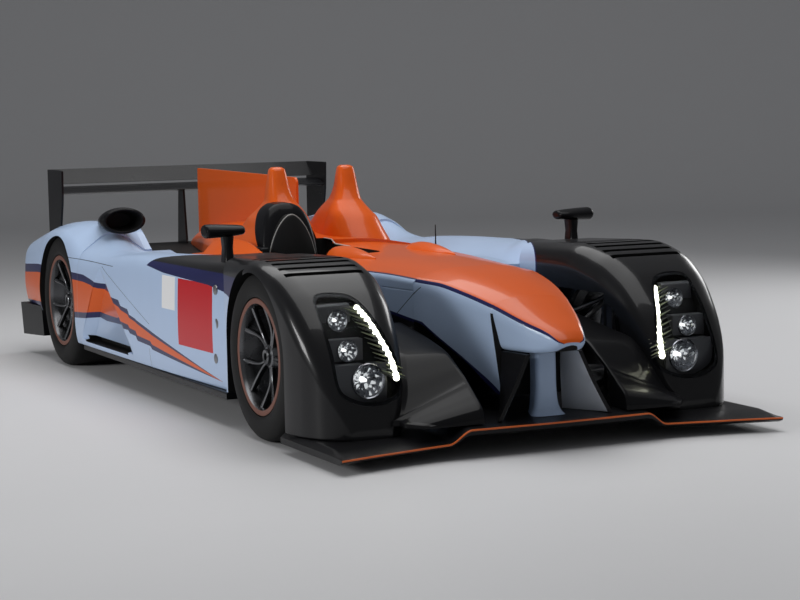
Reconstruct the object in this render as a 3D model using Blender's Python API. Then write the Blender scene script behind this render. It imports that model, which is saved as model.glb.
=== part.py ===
"""Open-cockpit endurance race car, in metres: +Z up, nose towards -Y, origin on the ground at mid length.

Every body panel, wing, wheel, tyre, knuckle and suspension group is its own object. Pieces of the left side are
modelled at +X and mirrored to the right side. Table columns are named in the comment over each table.
"""

import math

import bmesh
import bpy
import numpy as np
from mathutils import Matrix, Vector

# Overall sizes
LENGTH = 4.650
GAP = 0.0003
TAIL = LENGTH / 2
NOSE = -LENGTH / 2

# Wheels
FRONT_AXLE = -1.396
REAR_AXLE = 1.573
TYRE_RADIUS = 0.355
TYRE_FACE = 0.975
FRONT_TYRE_WIDTH = 0.360
REAR_TYRE_WIDTH = 0.370
RIM_RADIUS = 0.2286
RIM_LIP = 0.016
BEAD_INSET = 0.018
RIM_WALL = 0.010
TYRE_SEGMENTS = 28
HUB_RADIUS = 0.060
HUB_FACE = 0.050
DISC_RADIUS = 0.165
DISC_THICK = 0.030
DISC_SET = 0.012
DISC_SEGMENTS = 20
HUB_SEGMENTS = 16
SPOKE_PAIRS = 5
SPOKE_ROOT = 0.035
SPOKE_SPREAD = math.radians(13)
SPOKE_WIDTH = 0.016
SPOKE_DEPTH = 0.030

# Steering and suspension
KINGPIN = 0.730
KNUCKLE_THICK = 0.050
KNUCKLE_HALF = 0.045
KNUCKLE_HIGH = 0.135
ARM_RADIUS = 0.011
ARM_SPREAD = 0.200
PLATE = 0.012

# Wheel arches
WELL_FRONT_HALF = 0.412
WELL_REAR_HALF = 0.390
WELL_TOP = 0.725
WELL_SPRING = 0.400
WELL_SLOPE = 0.080
FENDER_INNER = 0.500
LIP_RADIUS = 0.352
LIP_INNER = 0.985
INNER_WALL = 0.015
WELL_STEPS = 12
WINDOW_TOP = 0.560
WINDOW_REACH = 0.300

# Floor and splitter
SPLITTER_BACK = -1.480
FLOOR_LOW = 0.055
FLOOR_TOP = 0.085
BODY_LOW = FLOOR_TOP + GAP
FLOOR_HALF = 0.940
FLOOR_NECK = 0.480
REAR_NECK = 0.565

# Stations where panels meet
FENDER_END = FRONT_AXLE + 0.436
POD_START = FENDER_END + GAP
POD_END = REAR_AXLE - 0.408
TAIL_START = POD_END + GAP
TUB_END = 0.350
DECK_END = 2.200

# Cockpit
TUB_TOP = 0.600
COCKPIT_FRONT = -0.640
COCKPIT_BACK = -0.060
COCKPIT_LEFT = -0.025
COCKPIT_RIGHT = -0.425
COCKPIT_FLOOR = 0.130
FOOTWELL_FRONT = -1.250
FOOTWELL_FLOOR = 0.280
DASH_LOW = 0.480
DASH_FRONT = -0.720
COLUMN_HIGH = 0.555
SEAT_X = (COCKPIT_LEFT + COCKPIT_RIGHT) / 2
SEAT_SIDE = -1
HEADREST_GAP = 0.004

# Tail fin
FIN_FRONT = 0.505
FIN_REAR = 2.020
FIN_TOP_FRONT = 1.018
FIN_TOP_REAR = 1.034
FIN_HALF = 0.007

# Wing
WING_HALF = 0.800
ENDPLATE = 0.012
WING_FRONT = 2.030
WING_TOP = 1.045
PYLON_X = 0.076

CORNER_STEPS = 3

# Front fender: off (from the axle), inner, outer, top, side_reach, side_drop, inner_reach, inner_drop
FRONT_FENDER = (
    (-0.664, 0.665, 0.840, 0.115, 0.050, 0.012, 0.050, 0.012),
    (-0.654, 0.645, 0.868, 0.200, 0.070, 0.050, 0.060, 0.050),
    (-0.624, 0.610, 0.905, 0.300, 0.090, 0.080, 0.080, 0.080),
    (-0.564, 0.575, 0.948, 0.420, 0.110, 0.110, 0.100, 0.110),
    (-0.474, 0.545, 0.978, 0.540, 0.120, 0.120, 0.120, 0.140),
    (-0.354, 0.520, 0.994, 0.650, 0.110, 0.100, 0.130, 0.160),
    (-0.204, 0.503, 0.998, 0.722, 0.095, 0.070, 0.120, 0.150),
    (0.000, 0.500, 0.993, 0.755, 0.080, 0.050, 0.100, 0.120),
    (0.200, 0.500, 0.976, 0.750, 0.080, 0.060, 0.100, 0.110),
    (0.436, 0.500, 0.950, 0.742, 0.080, 0.070, 0.100, 0.100),
)

# Tub and cowl: y, half, low, edge, crown
TUB = (
    (-1.500, 0.300, 0.300, 0.650, 0.692),
    (-1.250, 0.322, 0.220, 0.659, 0.705),
    (-0.960, 0.370, 0.120, 0.662, 0.715),
    (-0.640, 0.430, 0.086, 0.668, 0.722),
    (-0.300, 0.460, 0.086, 0.672, 0.724),
    (0.000, 0.470, 0.086, 0.676, 0.726),
    (0.350, 0.470, 0.086, 0.680, 0.728),
)

# Side pod: y, outer, shoulder, crest_x, crest, deck_x, deck
SIDE_POD = (
    (-0.960, 0.950, 0.690, 0.800, 0.742, 0.560, 0.650),
    (-0.600, 0.965, 0.686, 0.820, 0.728, 0.570, 0.645),
    (-0.200, 0.978, 0.678, 0.840, 0.712, 0.580, 0.640),
    (0.200, 0.986, 0.672, 0.840, 0.700, 0.590, 0.635),
    (0.500, 0.991, 0.660, 0.820, 0.706, 0.600, 0.620),
    (0.800, 0.995, 0.640, 0.800, 0.745, 0.610, 0.620),
    (1.000, 0.997, 0.625, 0.790, 0.768, 0.620, 0.670),
    (1.165, 0.998, 0.620, 0.785, 0.778, 0.620, 0.715),
)

# Rear fender: off (from the axle), outer, shoulder, crest_x, crest, deck, low
REAR_FENDER = (
    (-0.408, 0.998, 0.620, 0.785, 0.778, 0.715, 0.086),
    (-0.200, 0.998, 0.700, 0.790, 0.782, 0.740, 0.086),
    (0.000, 0.998, 0.728, 0.795, 0.776, 0.748, 0.086),
    (0.200, 0.996, 0.712, 0.795, 0.765, 0.735, 0.086),
    (0.420, 0.990, 0.660, 0.790, 0.750, 0.700, 0.290),
    (0.600, 0.980, 0.630, 0.785, 0.732, 0.670, 0.290),
    (0.748, 0.968, 0.605, 0.780, 0.705, 0.640, 0.290),
)
REAR_INNER = 0.575

# Nose: y, half, edge, crown, low_half, low
NOSE_SHAPE = (
    (-2.312, 0.062, 0.450, 0.457, 0.055, 0.425),
    (-2.270, 0.090, 0.475, 0.486, 0.080, 0.402),
    (-2.150, 0.141, 0.518, 0.536, 0.115, 0.386),
    (-1.990, 0.188, 0.570, 0.598, 0.140, 0.386),
    (-1.980, 0.191, 0.573, 0.602, 0.143, 0.206),
    (-1.800, 0.234, 0.615, 0.648, 0.198, 0.312),
    (-1.650, 0.263, 0.641, 0.675, 0.250, 0.385),
    (-1.5003, 0.300, 0.650, 0.692, 0.296, 0.420),
)

# Splitter: x, lead (y), trail (y), low, front_top, top
SPLITTER = (
    (0.000, -2.245, SPLITTER_BACK, 0.086, 0.118, 0.128),
    (0.400, -2.235, SPLITTER_BACK, 0.086, 0.118, 0.128),
    (0.498, -2.225, -1.640, 0.045, 0.066, 0.085),
    (0.760, -2.262, -1.670, 0.040, 0.062, 0.085),
    (0.997, -2.325, -1.702, 0.040, 0.062, 0.085),
)

# Engine cover: y, half, shoulder, crown
ENGINE_COVER = (
    (0.0003, 0.470, 0.676, 0.726),
    (0.352, 0.440, 0.668, 0.735),
    (0.700, 0.390, 0.690, 0.765),
    (1.100, 0.300, 0.700, 0.765),
    (1.500, 0.200, 0.680, 0.740),
    (1.850, 0.110, 0.640, 0.690),
    (2.050, 0.050, 0.605, 0.625),
)
DECK_TOP = 0.600

# Roll hump: z, inner, outer, front (y), rear (y)
HUMP = (
    (0.690, 0.030, 0.395, 0.020, 0.820),
    (0.770, 0.060, 0.375, 0.060, 0.720),
    (0.823, 0.085, 0.345, 0.110, 0.620),
    (0.870, 0.103, 0.305, 0.150, 0.540),
    (0.920, 0.116, 0.276, 0.180, 0.470),
    (0.990, 0.132, 0.256, 0.205, 0.410),
    (1.055, 0.142, 0.248, 0.220, 0.385),
    (1.078, 0.155, 0.235, 0.235, 0.370),
)

# Lamp opening in the fender's face, seen along Y: x, z
LAMP_OUTLINE = (
    (0.865, 0.634),
    (0.749, 0.637),
    (0.682, 0.597),
    (0.626, 0.474),
    (0.584, 0.315),
    (0.600, 0.255),
    (0.660, 0.222),
    (0.746, 0.212),
    (0.830, 0.234),
    (0.880, 0.286),
    (0.884, 0.435),
    (0.884, 0.560),
)
LAMP_POCKET = 0.055
BUCKET_THICK = 0.012
LENS_THICK = 0.004
# Lamps: x, z, radius
LAMPS = ((0.726, 0.300, 0.062), (0.789, 0.416, 0.048), (0.792, 0.535, 0.046))

# Plain finishes: colour, roughness, metallic
FINISHES = {
    "blue_paint": ((0.42, 0.55, 0.72), 0.25, 0.0),
    "orange_paint": ((0.85, 0.20, 0.03), 0.25, 0.0),
    "carbon": ((0.015, 0.015, 0.017), 0.30, 0.0),
    "tyre_rubber": ((0.02, 0.02, 0.02), 0.80, 0.0),
    "wheel_metal": ((0.05, 0.05, 0.055), 0.30, 1.0),
    "steel": ((0.35, 0.35, 0.36), 0.35, 1.0),
    "alloy": ((0.50, 0.50, 0.52), 0.40, 1.0),
    "lamp_chrome": ((0.80, 0.80, 0.82), 0.10, 1.0),
    "lamp_glass": ((0.80, 0.85, 0.88), 0.05, 0.0),
    "cockpit_trim": ((0.02, 0.02, 0.02), 0.60, 0.0),
}


def clear_scene():
    for old in list(bpy.data.objects):
        bpy.data.objects.remove(old)


def finish(name):
    """The named material, made on first use."""
    found = bpy.data.materials.get(name)
    if found:
        return found
    colour, roughness, metallic = FINISHES[name]
    made = bpy.data.materials.new(name)
    made.use_nodes = True
    shader = made.node_tree.nodes["Principled BSDF"]
    shader.inputs["Base Color"].default_value = (*colour, 1.0)
    shader.inputs["Roughness"].default_value = roughness
    shader.inputs["Metallic"].default_value = metallic
    made.diffuse_color = (*colour, 1.0)
    return made


def solid(name, points, faces, look):
    """One object from points and faces, with its normals turned outwards."""
    mesh = bpy.data.meshes.new(name)
    mesh.from_pydata([tuple(point) for point in points], [], faces)
    shape = bmesh.new()
    shape.from_mesh(mesh)
    bmesh.ops.recalc_face_normals(shape, faces=shape.faces)
    bmesh.ops.triangulate(shape, faces=shape.faces)
    if shape.calc_volume(signed=True) < 0:
        bmesh.ops.reverse_faces(shape, faces=shape.faces)
    shape.to_mesh(mesh)
    shape.free()
    made = bpy.data.objects.new(name, mesh)
    bpy.context.scene.collection.objects.link(made)
    mesh.materials.append(finish(look))
    return made


def loft(name, rings, look):
    """A closed body through rings of equally many points, with flat ends."""
    count = len(rings[0])
    points = [point for ring in rings for point in ring]
    faces = []
    for row in range(len(rings) - 1):
        low = row * count
        for i in range(count):
            j = (i + 1) % count
            faces.append((low + i, low + j, low + count + j, low + count + i))
    faces.append(tuple(reversed(range(count))))
    faces.append(tuple(range(len(points) - count, len(points))))
    return solid(name, points, faces, look)


def through(table, at):
    """The table's columns at one station, on a monotone cubic through its rows."""
    rows = np.array(table, float)
    stations, values = rows[:, 0], rows[:, 1:]
    at = min(max(at, stations[0]), stations[-1])
    step = np.diff(stations)[:, None]
    slope = np.diff(values, axis=0) / step
    bend = np.zeros_like(values)
    bend[0], bend[-1] = slope[0], slope[-1]
    same = slope[:-1] * slope[1:] > 0
    mean = 2 * slope[:-1] * slope[1:] / np.where(same, slope[:-1] + slope[1:], 1)
    bend[1:-1] = np.where(same, mean, 0)
    i = min(int(np.searchsorted(stations, at, side="right")) - 1, len(stations) - 2)
    t = (at - stations[i]) / step[i, 0]
    h = step[i, 0]
    return (
        values[i] * (1 + 2 * t) * (1 - t) ** 2
        + bend[i] * h * t * (1 - t) ** 2
        + values[i + 1] * t * t * (3 - 2 * t)
        + bend[i + 1] * h * t * t * (t - 1)
    )


def between(table, extra=0):
    """The table's stations with some more between each two."""
    marks = [row[0] for row in table]
    out = []
    for low, high in zip(marks[:-1], marks[1:]):
        out += [low + (high - low) * k / (extra + 1) for k in range(extra + 1)]
    return out + [marks[-1]]


def rounded(corners, steps=CORNER_STEPS):
    """A closed outline whose corners (u, v, before, after) are rounded by those reaches."""
    out = []
    for i, (u, v, before, after) in enumerate(corners):
        here = Vector((u, v))
        last = Vector(corners[i - 1][:2]) - here
        following = Vector(corners[(i + 1) % len(corners)][:2]) - here
        start = here + last.normalized() * min(before, 0.49 * last.length)
        end = here + following.normalized() * min(after, 0.49 * following.length)
        for k in range(steps + 1):
            t = k / steps
            out.append(start * (1 - t) ** 2 + here * 2 * t * (1 - t) + end * t * t)
    return out


def ring_at(y, corners, steps=CORNER_STEPS):
    return [Vector((u, y, v)) for u, v in rounded(corners, steps)]


def box(name, low, high, look):
    """A rectangular block between two corners."""
    outline = ((low[0], low[1]), (high[0], low[1]), (high[0], high[1]), (low[0], high[1]))
    return prism(name, outline, "Z", low[2], high[2], look)


def prism(name, outline, axis, low, high, look):
    """An outline of two coordinates, carried along the axis between two places."""
    spot = "XYZ".index(axis)
    rings = []
    for along in (low, high):
        rings.append([Vector((*point[:spot], along, *point[spot:])) for point in outline])
    return loft(name, rings, look)


def bar(name, start, end, radius, look, sides=8, end_radius=None):
    """A round bar from start to end."""
    start, end = Vector(start), Vector(end)
    along = (end - start).normalized()
    aside = along.orthogonal().normalized()
    third = along.cross(aside)
    rings = []
    for place, size in ((start, radius), (end, end_radius or radius)):
        turn = [2 * math.pi * k / sides for k in range(sides)]
        rings.append([place + aside * size * math.cos(a) + third * size * math.sin(a) for a in turn])
    return loft(name, rings, look)


def turned(name, profile, centre, look, segments=TYRE_SEGMENTS):
    """A closed profile of (x, radius) turned about the wheel's axle."""
    centre = Vector(centre)
    count = len(profile)
    points, faces = [], []
    for k in range(segments):
        angle = 2 * math.pi * k / segments - math.pi / 2
        for x, radius in profile:
            points.append(centre + Vector((x, radius * math.cos(angle), radius * math.sin(angle))))
    for k in range(segments):
        following = (k + 1) % segments
        for i in range(count):
            j = (i + 1) % count
            faces.append((k * count + i, k * count + j, following * count + j, following * count + i))
    return solid(name, points, faces, look)


def disc(name, x_low, x_high, radius, centre, look, segments=TYRE_SEGMENTS):
    """A round plate across the axle."""
    centre = Vector(centre)
    rings = []
    for x in (x_low, x_high):
        turn = [2 * math.pi * k / segments - math.pi / 2 for k in range(segments)]
        rings.append([centre + Vector((x, radius * math.cos(a), radius * math.sin(a))) for a in turn])
    return loft(name, rings, look)


def carve(target, tool, operation="DIFFERENCE"):
    """Applies one exact Boolean and removes the tool."""
    step = target.modifiers.new(operation.title(), "BOOLEAN")
    step.operation = operation
    step.object = tool
    step.solver = "EXACT"
    graph = bpy.context.evaluated_depsgraph_get()
    done = bpy.data.meshes.new_from_object(target.evaluated_get(graph))
    target.modifiers.clear()
    target.data = done
    done.name = target.name
    bpy.data.objects.remove(tool)
    return target


def fuse(target, *tools):
    for tool in tools:
        carve(target, tool, "UNION")
    return target


def copied(source, name, shift=(0, 0, 0)):
    made = bpy.data.objects.new(name, source.data.copy())
    bpy.context.scene.collection.objects.link(made)
    made.data.transform(Matrix.Translation(Vector(shift)))
    return made


def seat_on(piece, *carriers):
    """Trims a piece where it stands on its carriers, leaving the usual gap."""
    for carrier in carriers:
        carve(piece, copied(bpy.data.objects[carrier], "carrier", (0, 0, GAP)))
    return piece


def mirrored(source, name):
    """The same piece on the car's other side."""
    made = copied(source, name)
    made.data.transform(Matrix.Scale(-1, 4, Vector((1, 0, 0))))
    made.data.flip_normals()
    if source.location.length:
        made.location = (-source.location.x, source.location.y, source.location.z)
    return made


def pair(stem, piece):
    """Names a left piece and adds its mirror image on the right."""
    piece.name = stem + "_left"
    return piece, mirrored(piece, stem + "_right")


def hinge_at(piece, place):
    """Moves a piece's origin to its joint's axis, with the shape where it is."""
    place = Vector(place)
    piece.data.transform(Matrix.Translation(-place))
    piece.location = place


def shade(angle=35):
    for piece in bpy.data.objects:
        piece.data.shade_smooth()
        piece.data.set_sharp_from_angle(angle=math.radians(angle))


def well_cutter(axle, half, inner, inner_top):
    """The wheel's space: straight sides up to the spring line, then half an ellipse, lower at its inner wall."""
    rings = []
    for x, top in ((inner, inner_top), (inner + WELL_SLOPE, WELL_TOP), (LIP_INNER, WELL_TOP)):
        rise = top - WELL_SPRING
        turn = [math.pi * k / WELL_STEPS for k in range(WELL_STEPS + 1)]
        arch = [(axle + half * math.cos(a), WELL_SPRING + rise * math.sin(a)) for a in turn]
        outline = [(axle + half, -0.1)] + arch + [(axle - half, -0.1)]
        rings.append([Vector((x, y, z)) for y, z in outline])
    return loft("well", rings, "carbon")


def lip_cutter(axle):
    """The opening in the outer skin, a little smaller than the space behind it."""
    turn = [math.pi * k / WELL_STEPS for k in range(WELL_STEPS + 1)]
    arch = [
        (axle + LIP_RADIUS * math.cos(a), TYRE_RADIUS + LIP_RADIUS * math.sin(a)) for a in turn
    ]
    outline = [(axle + LIP_RADIUS, -0.1)] + arch + [(axle - LIP_RADIUS, -0.1)]
    return prism("lip", outline, "X", LIP_INNER - 0.01, 1.1, "carbon")


def fender_ring(row_at, low, steps=CORNER_STEPS, shift=0.0):
    inner, outer, top, side_reach, side_drop, inner_reach, inner_drop = through(FRONT_FENDER, row_at)
    corners = (
        (inner, low, 0.01, 0.01),
        (outer, low, 0.01, 0.01),
        (outer, top, side_drop, side_reach),
        (inner, top, inner_reach, inner_drop),
    )
    return ring_at(FRONT_AXLE + row_at + shift, corners, steps)


def fender_body(name, shift=0.0):
    rings = [fender_ring(off, BODY_LOW, shift=shift) for off in between(FRONT_FENDER, 1)]
    return loft(name, rings, "carbon")


def lamp_prism(name, margin, depth=0.8):
    """The lamp opening's outline carried back into the fender, drawn in by a margin."""
    middle = Vector((0.745, 0.42))
    outline = []
    for x, z in LAMP_OUTLINE:
        out = Vector((x, z)) - middle
        spot = middle + out * (1 - margin / out.length)
        outline.append((spot.x, spot.y))
    return prism(name, outline, "Y", FRONT_AXLE - 0.9, FRONT_AXLE - 0.9 + depth, "lamp_chrome")


def lamp_layer(name, near, far, margin, look):
    """A plate that follows the fender's face, between two depths behind it."""
    plate = lamp_prism(name, margin)
    carve(plate, fender_body("near", near), "INTERSECT")
    carve(plate, fender_body("far", far), "DIFFERENCE")
    plate.data.materials.clear()
    plate.data.materials.append(finish(look))
    return plate


def front_fender():
    piece = fender_body("front_fender")
    carve(piece, well_cutter(FRONT_AXLE, WELL_FRONT_HALF, FENDER_INNER + INNER_WALL, 0.580))
    carve(piece, lip_cutter(FRONT_AXLE))
    window = box(
        "window",
        (FENDER_INNER - 0.1, FRONT_AXLE - WINDOW_REACH, -0.1),
        (FENDER_INNER + 0.12, FENDER_END + 0.1, WINDOW_TOP),
        "carbon",
    )
    carve(piece, window)
    pocket = lamp_prism("pocket", 0.0)
    carve(pocket, fender_body("behind", LAMP_POCKET))
    carve(piece, pocket)
    pair("front_fender", piece)


def headlamp():
    bucket = lamp_layer(
        "headlamp_bucket", LAMP_POCKET - GAP - BUCKET_THICK, LAMP_POCKET - GAP, 2 * GAP, "lamp_chrome"
    )
    lens = lamp_layer("headlamp_lens", 0.0, LENS_THICK, 2 * GAP, "lamp_glass")
    for x, z, radius in LAMPS:
        barrel = bar("barrel", (x, NOSE, z), (x, FRONT_AXLE, z), radius * 0.8, "lamp_chrome", 12)
        carve(barrel, fender_body("ahead", LAMP_POCKET * 0.35), "INTERSECT")
        carve(barrel, fender_body("behind", LAMP_POCKET - BUCKET_THICK / 2), "DIFFERENCE")
        fuse(bucket, barrel)
    pair("headlamp_bucket", bucket)
    pair("headlamp_lens", lens)


def nose():
    rings = []
    for y, half, edge, crown, low_half, low in NOSE_SHAPE:
        corners = (
            (-low_half, low, 0.03, 0.02),
            (low_half, low, 0.02, 0.03),
            (half, edge, 0.03, 0.02),
            (0.45 * half, crown, 0.06, 0.06),
            (-0.45 * half, crown, 0.06, 0.06),
            (-half, edge, 0.02, 0.03),
        )
        rings.append(ring_at(y, corners, 3))
    return loft("nose", rings, "blue_paint")


def nose_supports():
    """The pillar and the two slanting vanes that carry the nose tip over the splitter."""
    deck = SPLITTER[0][5] + GAP
    roof = NOSE_SHAPE[2][5] - GAP
    # Pillar: z, half, front (y), back (y)
    shape = (
        (deck, 0.088, -2.130, -1.995),
        (deck + 0.030, 0.066, -2.125, -1.995),
        (deck + 0.120, 0.052, -2.122, -1.995),
        (roof, 0.050, -2.120, -1.995),
    )
    rings = []
    for z, half, front, back in shape:
        outline = rounded(
            (
                (-half, front, 0.7 * half, 0.7 * half),
                (half, front, 0.7 * half, 0.7 * half),
                (0.3 * half, back, 0.01, 0.01),
                (-0.3 * half, back, 0.01, 0.01),
            ),
            3,
        )
        rings.append([Vector((x, y, z)) for x, y in outline])
    loft("nose_pillar", rings, "blue_paint")
    # Vane: z, front_x, front_y, back_x, back_y
    shape = (
        (deck, 0.270, -2.125, 0.215, -1.985),
        ((deck + roof) / 2, 0.170, -2.150, 0.168, -1.985),
        (roof, 0.100, -2.175, 0.125, -1.995),
    )
    rings = []
    for z, front_x, front_y, back_x, back_y in shape:
        rings.append(
            [
                Vector((front_x, front_y, z)),
                Vector((back_x, back_y, z)),
                Vector((back_x - PLATE, back_y, z)),
                Vector((front_x - PLATE, front_y, z)),
            ]
        )
    pair("nose_vane", loft("nose_vane", rings, "carbon"))


def splitter():
    rows = [row for row in reversed(SPLITTER)]
    stations = [(-x, *rest) for x, *rest in rows[:-1]] + [tuple(row) for row in reversed(rows)]
    rings = []
    for x, lead, trail, low, front_top, top in stations:
        rings.append(
            [
                Vector((x, lead, front_top - 0.004)),
                Vector((x, lead + 0.004, front_top)),
                Vector((x, lead + 0.130, top)),
                Vector((x, trail, top)),
                Vector((x, trail, low)),
                Vector((x, lead + 0.030, low)),
                Vector((x, lead + 0.002, low + 0.010)),
            ]
        )
    return loft("splitter", rings, "carbon")


def floor():
    front = SPLITTER_BACK + GAP
    behind_front = FRONT_AXLE + WELL_FRONT_HALF
    ahead_rear = REAR_AXLE - WELL_REAR_HALF
    end = REAR_AXLE + WELL_REAR_HALF
    half = [
        (FLOOR_NECK, front),
        (FLOOR_NECK, behind_front),
        (FLOOR_HALF - 0.03, behind_front),
        (FLOOR_HALF, behind_front + 0.05),
        (FLOOR_HALF, ahead_rear),
        (REAR_NECK, ahead_rear),
        (REAR_NECK, end),
    ]
    outline = half + [(-x, y) for x, y in reversed(half)]
    return prism("floor", outline, "Z", FLOOR_LOW, FLOOR_TOP, "carbon")


def diffuser():
    """The ramp behind the gearbox, its strakes, and the black corners behind the rear wheels."""
    start = REAR_AXLE + WELL_REAR_HALF + GAP
    end = TAIL - 0.004
    rise = 0.200
    section = [
        (start, FLOOR_LOW),
        (end, FLOOR_LOW + rise - 0.02),
        (end, FLOOR_TOP + rise - 0.02),
        (start, FLOOR_TOP),
    ]
    piece = prism("diffuser", section, "X", -REAR_NECK, REAR_NECK, "carbon")
    for x in (-REAR_NECK + 0.006, -0.28, 0.0, 0.28, REAR_NECK - 0.006):
        strake = prism(
            "strake",
            [(start + 0.02, 0.065), (end, 0.095), (end, FLOOR_LOW + rise), (start + 0.02, 0.075)],
            "X",
            x - PLATE / 2,
            x + PLATE / 2,
            "carbon",
        )
        fuse(piece, strake)
    for side in (-1, 1):
        rings = []
        for y, low_x, top_x, low in ((start + 0.03, 0.955, 0.965, 0.120), (end, 0.985, 0.996, 0.105)):
            rings.append(
                [
                    Vector((side * (REAR_NECK - 0.02), y, 0.255)),
                    Vector((side * (low_x - 0.08), y, 0.250)),
                    Vector((side * (low_x - 0.05), y, low)),
                    Vector((side * low_x, y, low)),
                    Vector((side * top_x, y, 0.289)),
                    Vector((side * (REAR_NECK - 0.02), y, 0.289)),
                ]
            )
        fuse(piece, loft("corner", rings, "carbon"))
    return piece


def tub_half(y):
    """The tub's half width on the straight run between two of its rings."""
    marks = between(TUB)
    return float(np.interp(y, marks, [through(TUB, mark)[0] for mark in marks]))


def tub_ring(y):
    half, low, edge, crown = through(TUB, y)
    corners = (
        (-half * 0.9, low, 0.05, 0.05),
        (half * 0.9, low, 0.05, 0.05),
        (half, low + 0.12, 0.05, 0.05),
        (half, TUB_TOP, 0.004, 0.004),
        (-half, TUB_TOP, 0.004, 0.004),
        (-half, low + 0.12, 0.05, 0.05),
    )
    return ring_at(y, corners, 2)


def cowl_ring(y):
    half, low, edge, crown = through(TUB, y)
    base = TUB_TOP + GAP
    corners = (
        (-half, base, 0.004, 0.004),
        (half, base, 0.004, 0.004),
        (half, edge, 0.03, 0.05),
        (0.4 * half, crown, 0.10, 0.10),
        (-0.4 * half, crown, 0.10, 0.10),
        (-half, edge, 0.05, 0.03),
    )
    return ring_at(y, corners, 3)


def cockpit_opening(low):
    middle_x = SEAT_X
    half_x = (COCKPIT_LEFT - COCKPIT_RIGHT) / 2
    outline = rounded(
        (
            (middle_x - half_x, COCKPIT_FRONT, 0.12, 0.10),
            (middle_x + half_x, COCKPIT_FRONT, 0.10, 0.12),
            (middle_x + half_x, COCKPIT_BACK, 0.03, 0.03),
            (middle_x - half_x, COCKPIT_BACK, 0.03, 0.03),
        )
    )
    return prism("opening", outline, "Z", low, 0.850, "carbon")


def tub_and_cowl():
    marks = between(TUB)
    tub = loft("tub", [tub_ring(y) for y in marks], "blue_paint")
    carve(tub, cockpit_opening(COCKPIT_FLOOR))
    legs_right, legs_left = COCKPIT_RIGHT + 0.120, COCKPIT_LEFT - 0.020
    tunnel = box(
        "tunnel",
        (legs_right, DASH_FRONT - 0.01, FOOTWELL_FLOOR),
        (legs_left, COCKPIT_FRONT + 0.05, DASH_LOW),
        "carbon",
    )
    footwell = box(
        "footwell",
        (legs_right, FOOTWELL_FRONT, FOOTWELL_FLOOR),
        (legs_left, DASH_FRONT, TUB_TOP + 0.1),
        "carbon",
    )
    carve(tub, tunnel)
    carve(tub, footwell)
    cowl = loft("cowl", [cowl_ring(y) for y in marks if y <= COCKPIT_BACK + 0.1], "orange_paint")
    carve(cowl, cockpit_opening(TUB_TOP - 0.1))
    for side in (-1, 1):
        fuse(cowl, blister(side))
    return tub, cowl


def blister(side):
    """A streamlined bulge over the front suspension's rocker."""
    rings = []
    for t in np.linspace(0.0, 1.0, 6):
        y = -1.480 + 0.520 * t
        half = 0.058 * math.sqrt(max(1 - (2 * t - 1) ** 2, 0.02))
        rise = 0.052 * math.sqrt(max(1 - (2 * t - 1) ** 2, 0.02))
        turn = [2 * math.pi * k / 8 for k in range(8)]
        centre = Vector((side * 0.200, y, 0.672))
        rings.append([centre + Vector((half * math.cos(a), 0, rise * math.sin(a))) for a in turn])
    return loft("blister", rings, "orange_paint")


def pod_corners(inner, low, outer, shoulder, crest_x, crest, deck_x, deck):
    return (
        (inner, low, 0.01, 0.01),
        (outer - 0.035, low, 0.02, 0.02),
        (outer - 0.006, low + 0.06, 0.02, 0.06),
        (outer, 0.42, 0.10, 0.10),
        (outer - 0.012, shoulder, 0.08, 0.05),
        (crest_x, crest, 0.10, 0.10),
        (deck_x, deck, 0.08, 0.01),
        (inner, deck, 0.005, 0.005),
    )


def side_pod():
    marks = sorted(set(between(TUB)) | set(between(SIDE_POD)))
    marks = [y for y in marks if POD_START < y < POD_END]
    rings = []
    for y in [POD_START] + marks + [POD_END]:
        inner = tub_half(y) + GAP
        rings.append(ring_at(y, pod_corners(inner, BODY_LOW, *through(SIDE_POD, y)), 2))
    piece = loft("side_pod", rings, "blue_paint")
    inlet = loft(
        "inlet",
        [
            [Vector((x, y, z)) for x, z in ((0.43, 0.17), (0.62, 0.17), (0.62, 0.54), (0.43, 0.54))]
            for y in (POD_START - 0.1, POD_START + 0.05)
        ]
        + [
            [Vector((x, y, z)) for x, z in ((0.52, 0.20), (0.70, 0.20), (0.70, 0.50), (0.52, 0.50))]
            for y in (POD_START + 0.35,)
        ],
        "carbon",
    )
    carve(piece, inlet)
    pair("side_pod", piece)


def rear_fender():
    rings = []
    for off in between(REAR_FENDER):
        outer, shoulder, crest_x, crest, deck, low = through(REAR_FENDER, off)
        y = max(REAR_AXLE + off, TAIL_START)
        corners = pod_corners(REAR_INNER, low, outer, shoulder, crest_x, crest, REAR_INNER + 0.045, deck)
        rings.append(ring_at(y, corners, 2))
    piece = loft("rear_fender", rings, "blue_paint")
    carve(piece, well_cutter(REAR_AXLE, WELL_REAR_HALF, REAR_INNER + INNER_WALL, 0.700))
    carve(piece, lip_cutter(REAR_AXLE))
    window = box(
        "window", (0.50, REAR_AXLE - 0.25, -0.1), (0.70, REAR_AXLE + 0.25, 0.50), "carbon"
    )
    carve(piece, window)
    pair("rear_fender", piece)


def rear_deck():
    half = REAR_INNER - GAP
    outline = [
        (-half, TAIL_START),
        (half, TAIL_START),
        (half, DECK_END),
        (-half, DECK_END),
    ]
    piece = prism("rear_deck", outline, "Z", DECK_TOP - 0.015, DECK_TOP, "carbon")
    return piece


def engine_bay():
    box("engine_block", (-0.24, TUB_END + GAP, 0.100), (0.24, 1.000, 0.560), "alloy")
    case = [
        (1.000 + GAP, 0.120),
        (1.900, 0.220),
        (1.900, 0.420),
        (1.600, DECK_TOP - 0.015 - GAP),
        (1.200, DECK_TOP - 0.015 - GAP),
        (1.000 + GAP, 0.500),
    ]
    prism("gearbox", case, "X", -0.140, 0.140, "alloy")


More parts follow.
